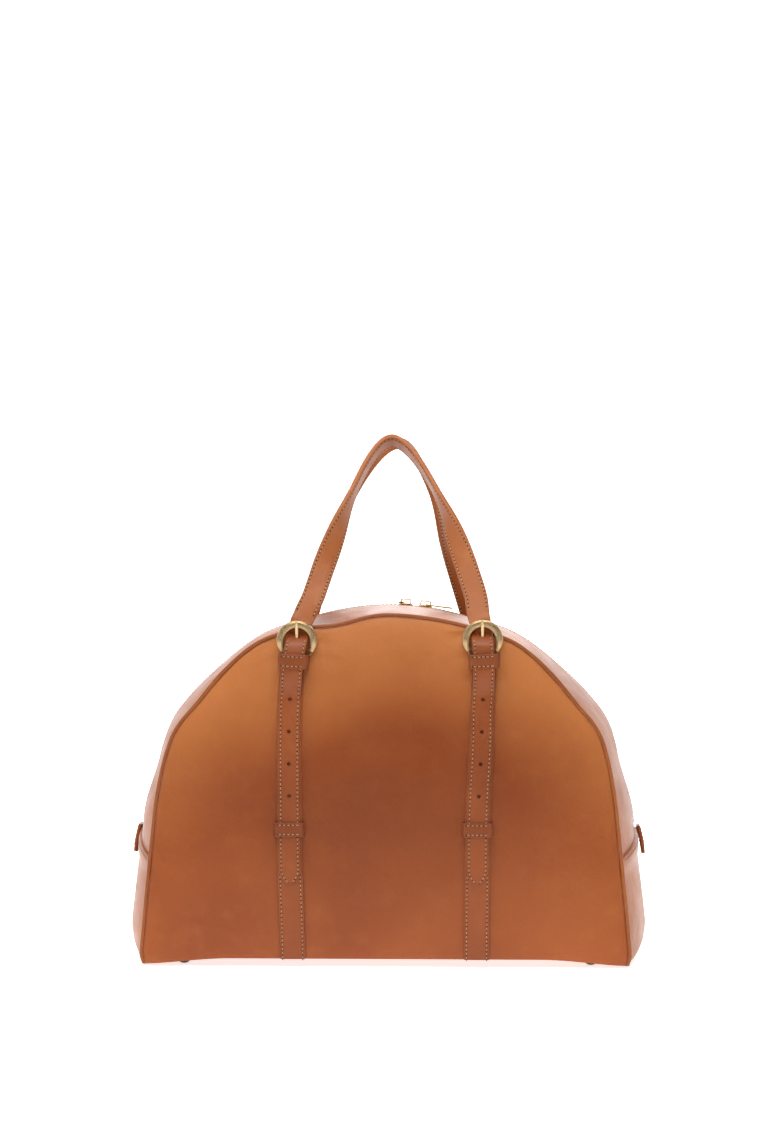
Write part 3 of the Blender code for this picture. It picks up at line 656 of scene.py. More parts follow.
def keeper(facing, hand, name, half_name, z, front):
    """A loop of leather round the straps, tucked into the seam on both sides."""
    strap = settings("strap")
    across = strap.base_width / 2 + 0.0012
    thick = 0.0017
    reach = front + strap.thickness / 2 + 0.0004 + thick / 2
    path = [Vector((-across - 0.0012, 0, 0)), Vector((-across - 0.0006, 0.0015, 0))]
    corner = 0.0026
    for i in range(7):
        angle = pi - pi / 2 * i / 6
        path.append(Vector((-across + corner + corner * cos(angle), reach - corner + corner * sin(angle), 0)))
    for i in range(1, 8):
        share = i / 8
        bow = 0.0004 * sin(pi * share)
        path.append(Vector((-across + corner + (across - corner) * 2 * share, reach + bow, 0)))
    right = [Vector((-spot.x, spot.y, 0)) for spot in reversed(path[:9])]
    path += right
    x = strap_x(hand, z)
    ground = -HALF_DEPTH - max(pillow(x, z), 0)
    spots = placed(facing, [Vector((x + spot.x, ground - spot.y, z)) for spot in path])
    down = Vector((0, 0, -1))
    ribbon = Ribbon(spots, [down] * len(spots), [strap.keeper_height] * len(spots), thick)
    piece = ribbon.mesh(f"{name}_leather")
    dress(piece, MATERIALS["keeper"])
    settle_on(piece, half_name, name)
    sewing = Sewing(f"{name}_stitches")
    for side in (-1, 1):
        sewing.row(ribbon.seam(side, 8, -8))
    settle_on(sewing.finish(), half_name)


# Buckles


def ring_section(size):
    """A stepped bevel round the ring: a flat face, a step down and a rounded flank."""
    half = size / 2
    return [
        (-0.34 * half, -half), (-0.50 * half, -0.97 * half), (-0.56 * half, -0.72 * half),
        (-0.84 * half, -0.66 * half), (-half, -0.42 * half), (-half, 0.5 * half), (-0.7 * half, 0.9 * half),
        (0.7 * half, 0.9 * half), (half, 0.5 * half), (half, -0.42 * half), (0.84 * half, -0.66 * half),
        (0.56 * half, -0.72 * half), (0.50 * half, -0.97 * half), (0.34 * half, -half),
    ]


def buckle_anchor(hand):
    """Where the middle of the ring sits, in the front's place."""
    _lie, ring, _fold, _front, _low = strap_levels()
    x = strap_x(hand, BUCKLE_Z)
    return Vector((x, -HALF_DEPTH - max(pillow(x, BUCKLE_Z), 0) - ring, BUCKLE_Z))


def buckle_frame(facing, hand, name, half_name):
    strap = settings("strap")
    anchor = buckle_anchor(hand)
    moved = settle(facing @ anchor) - facing @ anchor
    low_end = radians(-37)
    steps = 56
    rings = []
    for i in range(steps + 1):
        angle = low_end + (pi - 2 * low_end) * i / steps
        nearest = min(i, steps - i) / steps
        size = strap.ring_band * (0.66 + 0.34 * smooth(nearest, 0, 0.16))
        out = Vector((cos(angle), 0, sin(angle)))
        centre = anchor + out * strap.ring_radius
        ring = [centre + out * a + Vector((0, b, 0)) for a, b in ring_section(size)]
        rings.append([facing @ spot + moved for spot in ring])
    piece = bevelled(shell(f"{name}_buckle_ring", rings), 0.00012, 2)
    dress(piece, MATERIALS["brass"])
    settle_on(piece, half_name, f"{name}_buckle_frame")
    reach = strap.ring_radius * cos(low_end)
    bar_rings = []
    for share in (-1.06, -1, -0.96, 0.96, 1, 1.06):
        radius = strap.ring_band * (0.22 if abs(share) > 1.03 else 0.34 if abs(share) >= 1 else 0.28)
        centre = anchor + Vector((reach * share, 0, BAR_Z - BUCKLE_Z))
        ring = [centre + Vector((0, cos(2 * pi * i / 14), sin(2 * pi * i / 14))) * radius for i in range(14)]
        bar_rings.append([facing @ spot + moved for spot in ring])
    bar = shell(f"{name}_buckle_bar", bar_rings)
    dress(bar, MATERIALS["brass"])
    settle_on(bar, half_name)


def buckle_prong(facing, hand, name):
    strap = settings("strap")
    anchor = buckle_anchor(hand)
    moved = settle(facing @ anchor) - facing @ anchor
    eye = strap.ring_band * 0.34 + strap.prong * 0.6
    path = arc((0, BAR_Z), eye, radians(-20), -pi, 10)
    start, end = (-eye, BAR_Z), (strap.ring_band * 0.72, BUCKLE_Z + strap.ring_radius)
    for i in range(1, 13):
        share = i / 12 * 1.07
        path.append((start[0] + (end[0] - start[0]) * share**1.25, start[1] + (end[1] - start[1]) * share))
    rings = []
    for i, (offset, z) in enumerate(path):
        before, after = path[max(i - 1, 0)], path[min(i + 1, len(path) - 1)]
        along = Vector((0, before[0] - after[0], after[1] - before[1])).normalized()
        across = Vector((1, 0, 0))
        out = across.cross(along)
        tail = len(path) - 1 - i
        taper = 0.5 if tail == 0 else 0.85 if tail == 1 else 1
        size = strap.prong * (0.55 + 0.45 * smooth(i, 0, 6)) * taper
        centre = Vector((anchor.x, anchor.y - offset, z))
        ring = []
        for k in range(12):
            angle = 2 * pi * k / 12
            ring.append(centre + across * cos(angle) * size + out * sin(angle) * size * 0.72)
        rings.append([facing @ spot + moved for spot in ring])
    piece = shell(f"{name}_buckle_prong_metal", rings)
    dress(piece, MATERIALS["brass"])
    settle_on(piece, f"{name}_prong", f"{name}_buckle_prong")


# Handles


def bezier(points, share):
    rest = 1 - share
    weights = (rest**3, 3 * rest**2 * share, 3 * rest * share**2, share**3)
    total = Vector((0, 0, 0))
    for weight, point in zip(weights, points):
        total += point * weight
    return total


def handle_ribbon(facing):
    """The strap from one ring over the top to the other, face on at its feet and flat on top."""
    look = settings("handle")
    strap = settings("strap")
    lie, _ring, _fold, _front, _low = strap_levels()
    start_z = BUCKLE_Z + strap.ring_radius
    middle = (strap_x(-1, start_z) + strap_x(1, start_z)) / 2
    top_shift = look.front_top if facing[0][0] > 0 else -look.back_top
    pivot = Vector((middle, -0.1151, start_z))
    upright = Matrix.Translation(pivot) @ Matrix.Rotation(-look.lean, 4, "X")
    plane, foot_lean, rise = 0.0036, radians(15), 0.014
    foot = Vector((-look.foot_x + rise * sin(foot_lean), plane, rise))
    pull = Vector((sin(foot_lean), 0, cos(foot_lean))) * 0.112
    top = Vector((0, plane, look.length))
    control = [foot, foot + pull, top - Vector((0.023, 0, 0)), top]
    steps = 44
    shares = [i / steps for i in range(steps + 1)]
    spots = [(upright @ bezier(control, share), share, Vector((1, 0, 0))) for share in shares]
    first = on_panel(-1, lie, start_z)
    meet = spots[0][0]
    leg = [(bezier([first, first + Vector((0, 0, 0.005)), meet + (meet - spots[1][0]) * 1.2, meet], i / 6), 0)
           for i in range(6)]
    half = [(spot, share) for spot, share in leg] + [(spot, share) for spot, share, _ in spots]
    other = on_panel(1, lie, start_z)
    whole = list(half)
    for spot, share in reversed(half[:-1]):
        whole.append((Vector((2 * middle - spot.x, spot.y, spot.z)), share))
    leg_shift = look.leg_shift if facing[0][0] > 0 else 0
    moved = []
    for spot, share in whole:
        x = (top_shift - middle) * smooth(share, 0, 1)
        x += leg_shift * smooth(spot.z, start_z, start_z + 0.03) * (1 - smooth(share, 0.2, 1))
        moved.append((spot + Vector((x, 0, 0)), share))
    whole = moved
    whole[-1] = (other, 0)
    places, acrosses, widths = [], [], []
    for i, (spot, share) in enumerate(whole):
        along = (whole[min(i + 1, len(whole) - 1)][0] - whole[max(i - 1, 0)][0]).normalized()
        twist = pi / 2 * smooth(share, 0.05, 0.52)
        lean_now = Matrix.Rotation(-look.lean * smooth(spot.z, start_z, start_z + 0.02), 3, "X")
        front = lean_now @ Vector((0, -1, 0))
        outward = along.cross(front)
        face = front * cos(twist) + outward * sin(twist)
        places.append(facing @ settle_low(spot))
        acrosses.append(facing.to_3x3() @ face.cross(along) * -1)
        grow = smooth(spot.z, start_z, start_z + 0.014)
        widths.append(strap.tail_width + (look.width - strap.tail_width) * grow)
    return Ribbon(places, acrosses, widths, look.thickness)


def settle_low(spot):
    """Near the panel the strap follows the leather, and higher up it stands free."""
    near = 1 - smooth(spot.z, BUCKLE_Z + 0.016, BUCKLE_Z + 0.035)
    return spot.lerp(settle(spot), near)


def build_handle(facing, name):
    look = settings("handle")
    ribbon = handle_ribbon(facing)
    # the strap thins to a single layer where it passes behind the ring
    stations = ribbon.stations
    groove = settings("stitch").inset
    rings = []
    start_z = BUCKLE_Z + settings("strap").ring_radius
    single = settings("strap").thickness
    for spot, _along, across, out, width in stations:
        thick = single + (look.thickness - single) * smooth(spot.z, start_z, start_z + 0.016)
        profile = strap_profile(width / 2, thick / 2, groove)
        rings.append([spot + across * a + out * b for a, b in profile])
    piece = shell(f"{name}_handle_leather", rings)
    dress(piece, MATERIALS["handle"])
    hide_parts(f"{name}_handle")
    sewing = Sewing(f"{name}_handle_stitches")
    for side in (-1, 1):
        sewing.row(ribbon.seam(side, 6, -6))
        sewing.row(ribbon.seam(side, 6, -6, face=-1))
    threads = sewing.finish()
    for part in (piece, threads):
        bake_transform(part)


# Shell


def build_panel(facing, name):
    body = settings("body")
    run = dome_run(FOOT_HEIGHT)
    count = 150
    outline = []
    for i in range(count + 1):
        point, _ = dome_at(-run + 2 * run * i / count)
        outline.append((point.x, point.z))
    across = 60
    for i in range(1, across):
        outline.append((HALF_WIDTH - 2 * HALF_WIDTH * i / across, FOOT_HEIGHT))
    centre = (0.0, 0.165)
    shares = [0.01] + [0.04 + 0.86 * i / 34 for i in range(35)]
    shares += [0.92, 0.94, 0.955, 0.967, 0.976, 0.984, 0.990, 0.995, 0.999]
    rings = []
    for share in shares:
        ring = []
        for x, z in outline:
            px, pz = centre[0] + (x - centre[0]) * share, centre[1] + (z - centre[1]) * share
            ring.append(settle(facing @ Vector((px, -HALF_DEPTH - pillow(px, pz), pz))))
        rings.append(ring)
    for share in reversed(shares):
        ring = []
        for x, z in outline:
            px, pz = centre[0] + (x - centre[0]) * share, centre[1] + (z - centre[1]) * share
            ring.append(settle(facing @ Vector((px, -HALF_DEPTH - pillow(px, pz) + body.leather, pz))))
        rings.append(ring)
    piece = shell(f"{name}_panel_leather", rings)
    dress(piece, MATERIALS["leather"])
    settle_on(piece, f"{name}_half", f"{name}_panel")


def build_piping(facing, name):
    body = settings("body")
    run = dome_run(FOOT_HEIGHT)
    count = 220
    rings = []
    for i in range(count + 1):
        point, normal = dome_at(-run + 2 * run * i / count)
        centre = point + normal * body.piping + Vector((0, -HALF_DEPTH + body.piping, 0))
        ring = []
        for k in range(12):
            angle = 2 * pi * k / 12
            ring.append(centre + (normal * cos(angle) + Vector((0, 1, 0)) * sin(angle)) * body.piping)
        rings.append(placed(facing, ring))
    piece = shell(f"{name}_piping_cord", rings)
    dress(piece, MATERIALS["piping"])
    settle_on(piece, f"{name}_half", f"{name}_piping")


def gusset_point(along, y, lift=0.0):
    point, normal = dome_at(along)
    return point + normal * (gusset_offset(point.z, y) + lift) + Vector((0, y, 0))


def end_height(y):
    return ZIP_END_HEIGHT - (ZIP_END_HEIGHT - GUSSET_CORNER_HEIGHT) * abs(y) / INNER_DEPTH


def build_zip_gusset(facing, name):
    """Half of the zip's arch: leather from the piping to the folded edge beside the teeth."""
    body = settings("body")
    mouth = settings("zip").mouth
    tuck = 0.006
    steps = 150
    columns = 14
    profile = []
    for i in range(columns + 1):
        share = i / columns
        profile.append((-INNER_DEPTH + (INNER_DEPTH - mouth - 0.0012) * share, 0))
    profile += [(-mouth - 0.0004, -0.0003), (-mouth, -0.0011), (-mouth - 0.0004, -0.0019)]
    for i in range(columns + 1):
        share = 1 - i / columns
        profile.append((-INNER_DEPTH + (INNER_DEPTH - mouth - 0.0012) * share, -body.leather))
    rings = []
    for i in range(steps + 1):
        ring = []
        for y, drop in profile:
            reach = dome_run(end_height(y) - tuck)
            along = -reach + 2 * reach * i / steps
            under = -0.0006 * (1 - smooth(min(i, steps - i), 1, 6))
            ring.append(gusset_point(along, y, drop + under))
        rings.append(placed(facing, ring))
    piece = shell(f"{name}_zip_gusset_leather", rings)
    dress(piece, MATERIALS["gusset"])
    piece.data.materials.append(MATERIALS["cotton"])
    count = len(profile)
    inner_from = columns + 4
    for face in piece.data.polygons:
        places = [index % count for index in face.vertices]
        if len(places) == 4 and min(places) >= inner_from:
            face.material_index = 1
    settle_on(piece, f"{name}_half", f"{name}_zip_gusset")
    sewing = Sewing(f"{name}_zip_gusset_stitches")
    y = -mouth - settings("stitch").inset
    reach = dome_run(end_height(y) + 0.004)
    line = []
    for i in range(steps * 2 + 1):
        along = -reach + reach * i / steps
        _, normal = dome_at(along)
        spot = settle(facing @ gusset_point(along, y, 0.00004))
        line.append((spot, facing.to_3x3() @ normal))
    sewing.row(line)
    settle_on(sewing.finish(), f"{name}_half")


def end_point(side, z, y, lift):
    x = HALF_WIDTH - (z - FOOT_HEIGHT) * SIDE_SLOPE
    out = gusset_offset(z, y) + lift
    return Vector((side * (x + out * cos(SIDE_LEAN)), y, z + out * sin(SIDE_LEAN)))


def build_end_gusset(side, side_name):
    """The pointed end piece lies over the zip's gusset, in two parts: a front part and a back part."""
    body = settings("body")
    rows, columns = 44, 18
    for y_side, half_name in ((-1, "front"), (1, "back")):
        rings = []
        for i in range(rows + 1):
            share = 1 - (1 - i / rows) ** 1.15
            outer, inner = [], []
            for k in range(columns + 1):
                y = y_side * INNER_DEPTH * k / columns
                z = FOOT_HEIGHT + (end_height(y) - FOOT_HEIGHT) * share
                lift = body.leather * 1.02 * smooth(share, 0.80, 0.94) * (1 if share < 0.999 else 0.72)
                outer.append(end_point(side, z, y, lift))
                inner.append(end_point(side, z, y, lift - body.leather))
            rings.append([settle(spot) for spot in outer + inner[::-1]])
        piece = shell(f"{side_name}_end_gusset_{half_name}", rings)
        dress(piece, MATERIALS["gusset"])
        if y_side < 0:
            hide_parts(f"{side_name}_end_gusset")
        sewing = Sewing(f"{side_name}_end_gusset_{half_name}_stitches")
        line = []
        for k in range(columns * 2 + 1):
            y = y_side * (0.0004 + (INNER_DEPTH - 0.004) * k / (columns * 2))
            z = end_height(y) - 0.0034
            spot = settle(end_point(side, z, y, body.leather * 1.02 + 0.00004))
            bulge = (gusset_offset(z, y + 0.001) - gusset_offset(z, y - 0.001)) / 0.002
            line.append((spot, Vector((side * cos(SIDE_LEAN), -bulge, sin(SIDE_LEAN))).normalized()))
        sewing.row(line)
        threads = sewing.finish()
        for part in (piece, threads):
            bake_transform(part)


def build_base_panel():
    body = settings("body")
    reach = HALF_WIDTH - 0.0025
    rings = []
    steps, columns = 60, 24
    for i in range(steps + 1):
        x = -reach + 2 * reach * i / steps
        low, high = [], []
        for k in range(columns + 1):
            y = -INNER_DEPTH + 2 * INNER_DEPTH * k / columns
            wave = 0.0006 * noise.noise(Vector((x * 14, y * 14, 5.2)))
            low.append(Vector((x, y, FOOT_HEIGHT + wave + 0.0003)))
            high.append(Vector((x, y, FOOT_HEIGHT + wave + body.leather)))
        rings.append([settle(spot) for spot in low + high[::-1]])
    piece = bevelled(shell("base_panel_leather", rings), 0.0006)
    dress(piece, MATERIALS["leather"])
    settle_on(piece, "base", "base_panel")


# A domed stud: radius and height, from the floor up
STUD_PROFILE = ((0.0016, 0.0001), (0.0034, 0.0006), (0.0051, 0.0017), (0.0063, 0.0033), (0.0067, 0.0047),
                (0.0070, 0.0050), (0.0070, 0.0058), (0.0064, 0.0066), (0.0064, 0.0076))


def build_feet():
    for _hand, x_name in HANDS:
        for _facing, y_name in SIDES:
            node = f"{y_name}_{x_name}_foot"
            low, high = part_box(node)
            spot = (Vector(low) + Vector(high)) / 2
            rings = []
            for radius, z in STUD_PROFILE:
                rings.append([Vector((spot.x + radius * cos(2 * pi * k / 40),
                                      spot.y + radius * sin(2 * pi * k / 40), z)) for k in range(40)])
            piece = shell(f"{node}_stud", rings)
            dress(piece, MATERIALS["dark_metal"])
            settle_on(piece, "base", node)


# Inside


def build_lining(facing, name):
    """Cotton that hangs a little loose behind the panel."""
    run = dome_run(FOOT_HEIGHT + 0.014)
    count = 90
    outline = []
    for i in range(count + 1):
        point, normal = dome_at(-run + 2 * run * i / count)
        point = point - normal * 0.010
        outline.append((point.x, max(point.z, FOOT_HEIGHT + 0.014)))
    low_x = outline[-1][0]
    for i in range(1, 40):
        outline.append((low_x - 2 * low_x * i / 40, FOOT_HEIGHT + 0.014))
    rings = []
    for depth, shares in ((-HALF_DEPTH + 0.0052, [0.01] + [i / 24 for i in range(1, 25)]),
                          (-HALF_DEPTH + 0.0064, [i / 24 for i in range(24, 0, -1)] + [0.01])):
        for share in shares:
            ring = []
            for x, z in outline:
                px, pz = x * share, 0.165 + (z - 0.165) * share
                wave = 0.0016 * noise.noise(Vector((px * 12, 4.0, pz * 12))) * (1 - share**4)
                ring.append(settle(facing @ Vector((px, depth + wave, pz))))
            rings.append(ring)
    piece = shell(f"{name}_lining_cotton", rings)
    dress(piece, MATERIALS["cotton"])
    settle_on(piece, f"{name}_half", f"{name}_lining")


def build_inside():
    low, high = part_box("base_lining")
    rings = []
    steps, columns = 40, 20
    for i in range(steps + 1):
        x = low[0] + (high[0] - low[0]) * i / steps
        under, over = [], []
        for k in range(columns + 1):
            y = low[1] + (high[1] - low[1]) * k / columns
            wave = 0.0008 * (0.6 + noise.noise(Vector((x * 16, y * 16, 1.0))))
            under.append(Vector((x, y, low[2])))
            over.append(Vector((x, y, high[2] + max(wave, 0))))
        rings.append(under + over[::-1])
    piece = bevelled(shell("base_lining_cotton", rings), 0.0004, 2)
    dress(piece, MATERIALS["cotton"])
    settle_on(piece, "base", "base_lining")
    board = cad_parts["base_board"]
    board.data.materials.clear()
    board.data.materials.append(MATERIALS["board"])


# Zip


def zip_level(z):
    """How far the teeth's middle stands out from the outline."""
    return end_fill(z) - 0.0020


def build_tape(facing, name):
    look = settings("zip")
    steps = 150
    rings = []
    for i in range(steps + 1):
        reach = dome_run(ZIP_END_HEIGHT - 0.002)
        along = -reach + 2 * reach * i / steps
        point, normal = dome_at(along)
        level = zip_level(point.z) - 0.0004
        outer, inner = [], []
        for k in range(7):
            y = -0.0012 - look.tape * k / 6
            fall = 0.0006 * smooth(k, 1, 6) * 2
            outer.append(point + normal * (level - fall) + Vector((0, y, 0)))
            inner.append(point + normal * (level - fall - 0.0006) + Vector((0, y, 0)))
        rings.append(placed(facing, outer + inner[::-1]))
    piece = shell(f"{name}_zip_tape_weave", rings)
    dress(piece, MATERIALS["tape"])
    settle_on(piece, f"{name}_half", f"{name}_zip_tape")


def build_teeth(facing, name, phase):
    """Separate metal teeth, each a leg clamped on the tape and a narrower nose."""
    look = settings("zip")
    reach = dome_run(ZIP_END_HEIGHT + 0.003)
    count = int(2 * reach / look.pitch)
    points, faces = [], []
    blocks = (
        ((-0.0046, -0.0010), 0.00080, 0.00150),
        ((-0.0010, 0.0006), 0.00066, 0.00115),
    )
    for i in range(count):
        along = -reach + look.pitch * (i + phase)
        if abs(along) > reach:
            continue
        centre, normal = dome_at(along)
        ahead, _ = dome_at(along + 0.001)
        tangent = (ahead - centre).normalized()
        centre = centre + normal * zip_level(centre.z)
        for (near, far), half_along, half_high in blocks:
            first = len(points)
            soft = 0.00028
            for y, shrink in ((near, soft), (near + soft, 0), (far - soft, 0), (far, soft)):
                a, b = half_along - shrink, half_high - shrink
                for sa, sb in ((-a, -b + soft), (-a + soft, -b), (a - soft, -b), (a, -b + soft),
                               (a, b - soft), (a - soft, b), (-a + soft, b), (-a, b - soft)):
                    spot = centre + tangent * sa + normal * sb + Vector((0, y, 0))
                    points.append(settle(facing @ spot))
            for row in range(3):
                for k in range(8):
                    j = (k + 1) % 8
                    low, high = first + row * 8, first + row * 8 + 8
                    faces.append((low + k, low + j, high + j, high + k))
            faces.append(tuple(range(first, first + 8)))
            faces.append(tuple(range(first + 24, first + 32)))
    piece = make_object(f"{name}_zip_teeth_metal", points, faces)
    dress(piece, MATERIALS["gold"])
    settle_on(piece, f"{name}_half", f"{name}_zip_teeth")


def slider_place(angle):
    return Matrix.Translation((0, 0, ARCH_Z)) @ Matrix.Rotation(angle, 4, "Y")


def build_slider(angle, name):
    """The slider's top plate narrows to its tail, with an arched crown over it."""
    level = ARCH_RADIUS + settings("body").top_bulge
    place = slider_place(angle)
    points, faces = [], []

    def add(rings):
        first, count = len(points), len(rings[0])
        for ring in rings:
            points.extend(place @ spot for spot in ring)
        faces.extend(tube_faces(first, len(rings), count))

    stations = []
    for i in range(17):
        share = -1 + i / 8
        half = 0.0046 * sqrt(max(1 - abs(share) ** 3.2, 0)) * (1 - 0.14 * share) + 0.0008
        x = 0.0071 * share
        high = level + 0.0020 - 0.0007 * abs(share) ** 3
        low = level - 0.0004
        stations.append([Vector((x, -half, low)), Vector((x, half, low)), Vector((x, half, high - 0.0005)),
                         Vector((x, half - 0.0006, high)), Vector((x, -half + 0.0006, high)),
                         Vector((x, -half, high - 0.0005))])
    add(stations)
    wire = []
    reach, clear, corner = 0.0050, 0.0043, 0.0016
    path = [(-reach, level + 0.0014), (-reach, level + 0.0018 + clear - corner)]
    for i in range(1, 6):
        turn = pi - pi / 2 * i / 5
        z = level + 0.0018 + clear - corner + corner * sin(turn)
        path.append((-reach + corner + corner * cos(turn), z))
    path += [(-x, z) for x, z in reversed(path)]
    for i, (x, z) in enumerate(path):
        before, after = path[max(i - 1, 0)], path[min(i + 1, len(path) - 1)]
        along = Vector((after[0] - before[0], 0, after[1] - before[1])).normalized()
        side = Vector((along.z, 0, -along.x))
        ring = []
        for a, b in ((-0.6, -1), (0.6, -1), (1, -0.6), (1, 0.6), (0.6, 1), (-0.6, 1), (-1, 0.6), (-1, -0.6)):
            ring.append(Vector((x, 0, z)) + side * a * 0.00062 + Vector((0, b * 0.0011, 0)))
        wire.append(ring)
    add(wire)
    piece = bevelled(make_object(f"{name}_slider_metal", points, faces), 0.00015, 2)
    dress(piece, MATERIALS["gold"])
    settle_on(piece, f"{name}_slider_body", f"{name}_slider")


def puller_outline(width, start, length):
    """The outside of the puller and of its eye, as equally many points."""
    half = width / 2
    end = start + length
    outer, inner = [], []
    steps = 40
    for i in range(steps):
        angle = 2 * pi * i / steps
        squareness = 0.34
        c, s = cos(angle), sin(angle)
        outer.append(((start + end) / 2 + length / 2 * (abs(c) ** squareness) * (1 if c > 0 else -1),
                      half * (abs(s) ** squareness) * (1 if s > 0 else -1)))
        eye_middle, eye_half = start + 0.0040, 0.0024
        inner.append((eye_middle + eye_half * (abs(c) ** 0.5) * (1 if c > 0 else -1),
                      0.0018 * (abs(s) ** 0.5) * (1 if s > 0 else -1)))
    return outer, inner


def build_puller(name, place, start):
    outer, inner = puller_outline(0.0064, start, 0.028)
    half = 0.0007
    rim = 0.0003
    rings = []
    for points, grow, level in ((outer, -rim, half), (outer, 0, half - rim), (outer, 0, -half + rim),
                                (outer, -rim, -half), (inner, 0, -half), (inner, 0, half)):
        centre_x = sum(x for x, _ in points) / len(points)
        ring = []
        for x, y in points:
            away = Vector((x - centre_x, y, 0))
            away = away * (1 + grow / max(away.length, 0.001))
            ring.append(place @ Vector((centre_x + away.x, away.y, level)))
        rings.append(ring)
    piece = shell(f"{name}_puller_metal", rings, loop=True)
    dress(piece, MATERIALS["gold"])
    settle_on(piece, f"{name}_puller_body", f"{name}_puller")


def crown_leg(angle, side):
    level = ARCH_RADIUS + 0.0110
    return slider_place(angle) @ Matrix.Translation((side * 0.00485, 0, level))


def build_end_tab(side, name):
    """A folded leather tab that hangs from the zip's end and stands a little away."""
    low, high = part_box(f"{name}_end_tab")
    top = settle(end_point(side, ZIP_END_HEIGHT, 0, settings("body").leather))
    lean = radians(11)
    width, thick, length = 0.020, 0.0034, min(0.029, high[2] - low[2] + 0.001)
    along = Vector((side * sin(lean), 0, -cos(lean)))
    across = Vector((0, 1, 0))
    count = 26
    spots, widths = [], []
    for i in range(count + 1):
        share = i / count
        curl = 0.0007 * sin(pi * share) * side
        spots.append(top + along * length * share + Vector((curl, 0, 0)) + Vector((side * 0.0012, 0, 0.002)))
        rounding = max(1 - ((share - 0.86) / 0.15) ** 2 * 0.55, 0.2)
        widths.append(width * (1 if share < 0.86 else sqrt(rounding)))
    ribbon = Ribbon(spots, [across * side] * len(spots), widths, thick)
    piece = ribbon.mesh(f"{name}_end_tab_leather")
    dress(piece, MATERIALS["strap"])
    settle_on(piece, f"{name}_tab", f"{name}_end_tab")
    sewing = Sewing(f"{name}_end_tab_stitches")
    for edge in (-1, 1):
        sewing.row(ribbon.seam(edge, 2, -3))
        sewing.row(ribbon.seam(edge, 2, -3, face=-1))
    settle_on(sewing.finish(), f"{name}_tab")


# Materials

MATERIALS = {}


def linear(code):
    """An sRGB hex colour as linear red, green, blue and alpha."""
    values = [int(code[i:i + 2], 16) / 255 for i in (1, 3, 5)]
    return (*[v / 12.92 if v <= 0.04045 else ((v + 0.055) / 1.055) ** 2.4 for v in values], 1.0)


def per_mm(size):
    """The scale that gives a pattern features of a size in millimetres."""
    return 1000 / size


def add(tree, kind, options=None, links=None, out=0):
    """Adds a node with its options, values and links, and gives back one of its outputs."""
    made = tree.nodes.new(kind)
    for key, value in (options or {}).items():
        setattr(made, key, value)
    for key, value in (links or {}).items():
        if isinstance(value, bpy.types.NodeSocket):
            tree.links.new(value, made.inputs[key])
        else:
            made.inputs[key].default_value = value
    return made.outputs[out]


def new_material(name):
    made = bpy.data.materials.new(name)
    made.use_nodes = True
    tree = made.node_tree
    shader = tree.nodes["Principled BSDF"]
    where = add(tree, "ShaderNodeTexCoord", out=3)
    return made, tree, shader, where


def blend_colours(tree, factor, low, high):
    return add(tree, "ShaderNodeMix", {"data_type": "RGBA"}, {0: factor, 6: low, 7: high}, out=2)


def noise_at(tree, where, size, detail=3.0, rough=0.5):
    links = {"Vector": where, "Scale": per_mm(size), "Detail": detail, "Roughness": rough}
    return add(tree, "ShaderNodeTexNoise", None, links)


def spread_range(tree, value, low, high, to_low, to_high):
    links = {0: value, 1: low, 2: high, 3: to_low, 4: to_high}
    return add(tree, "ShaderNodeMapRange", None, links)


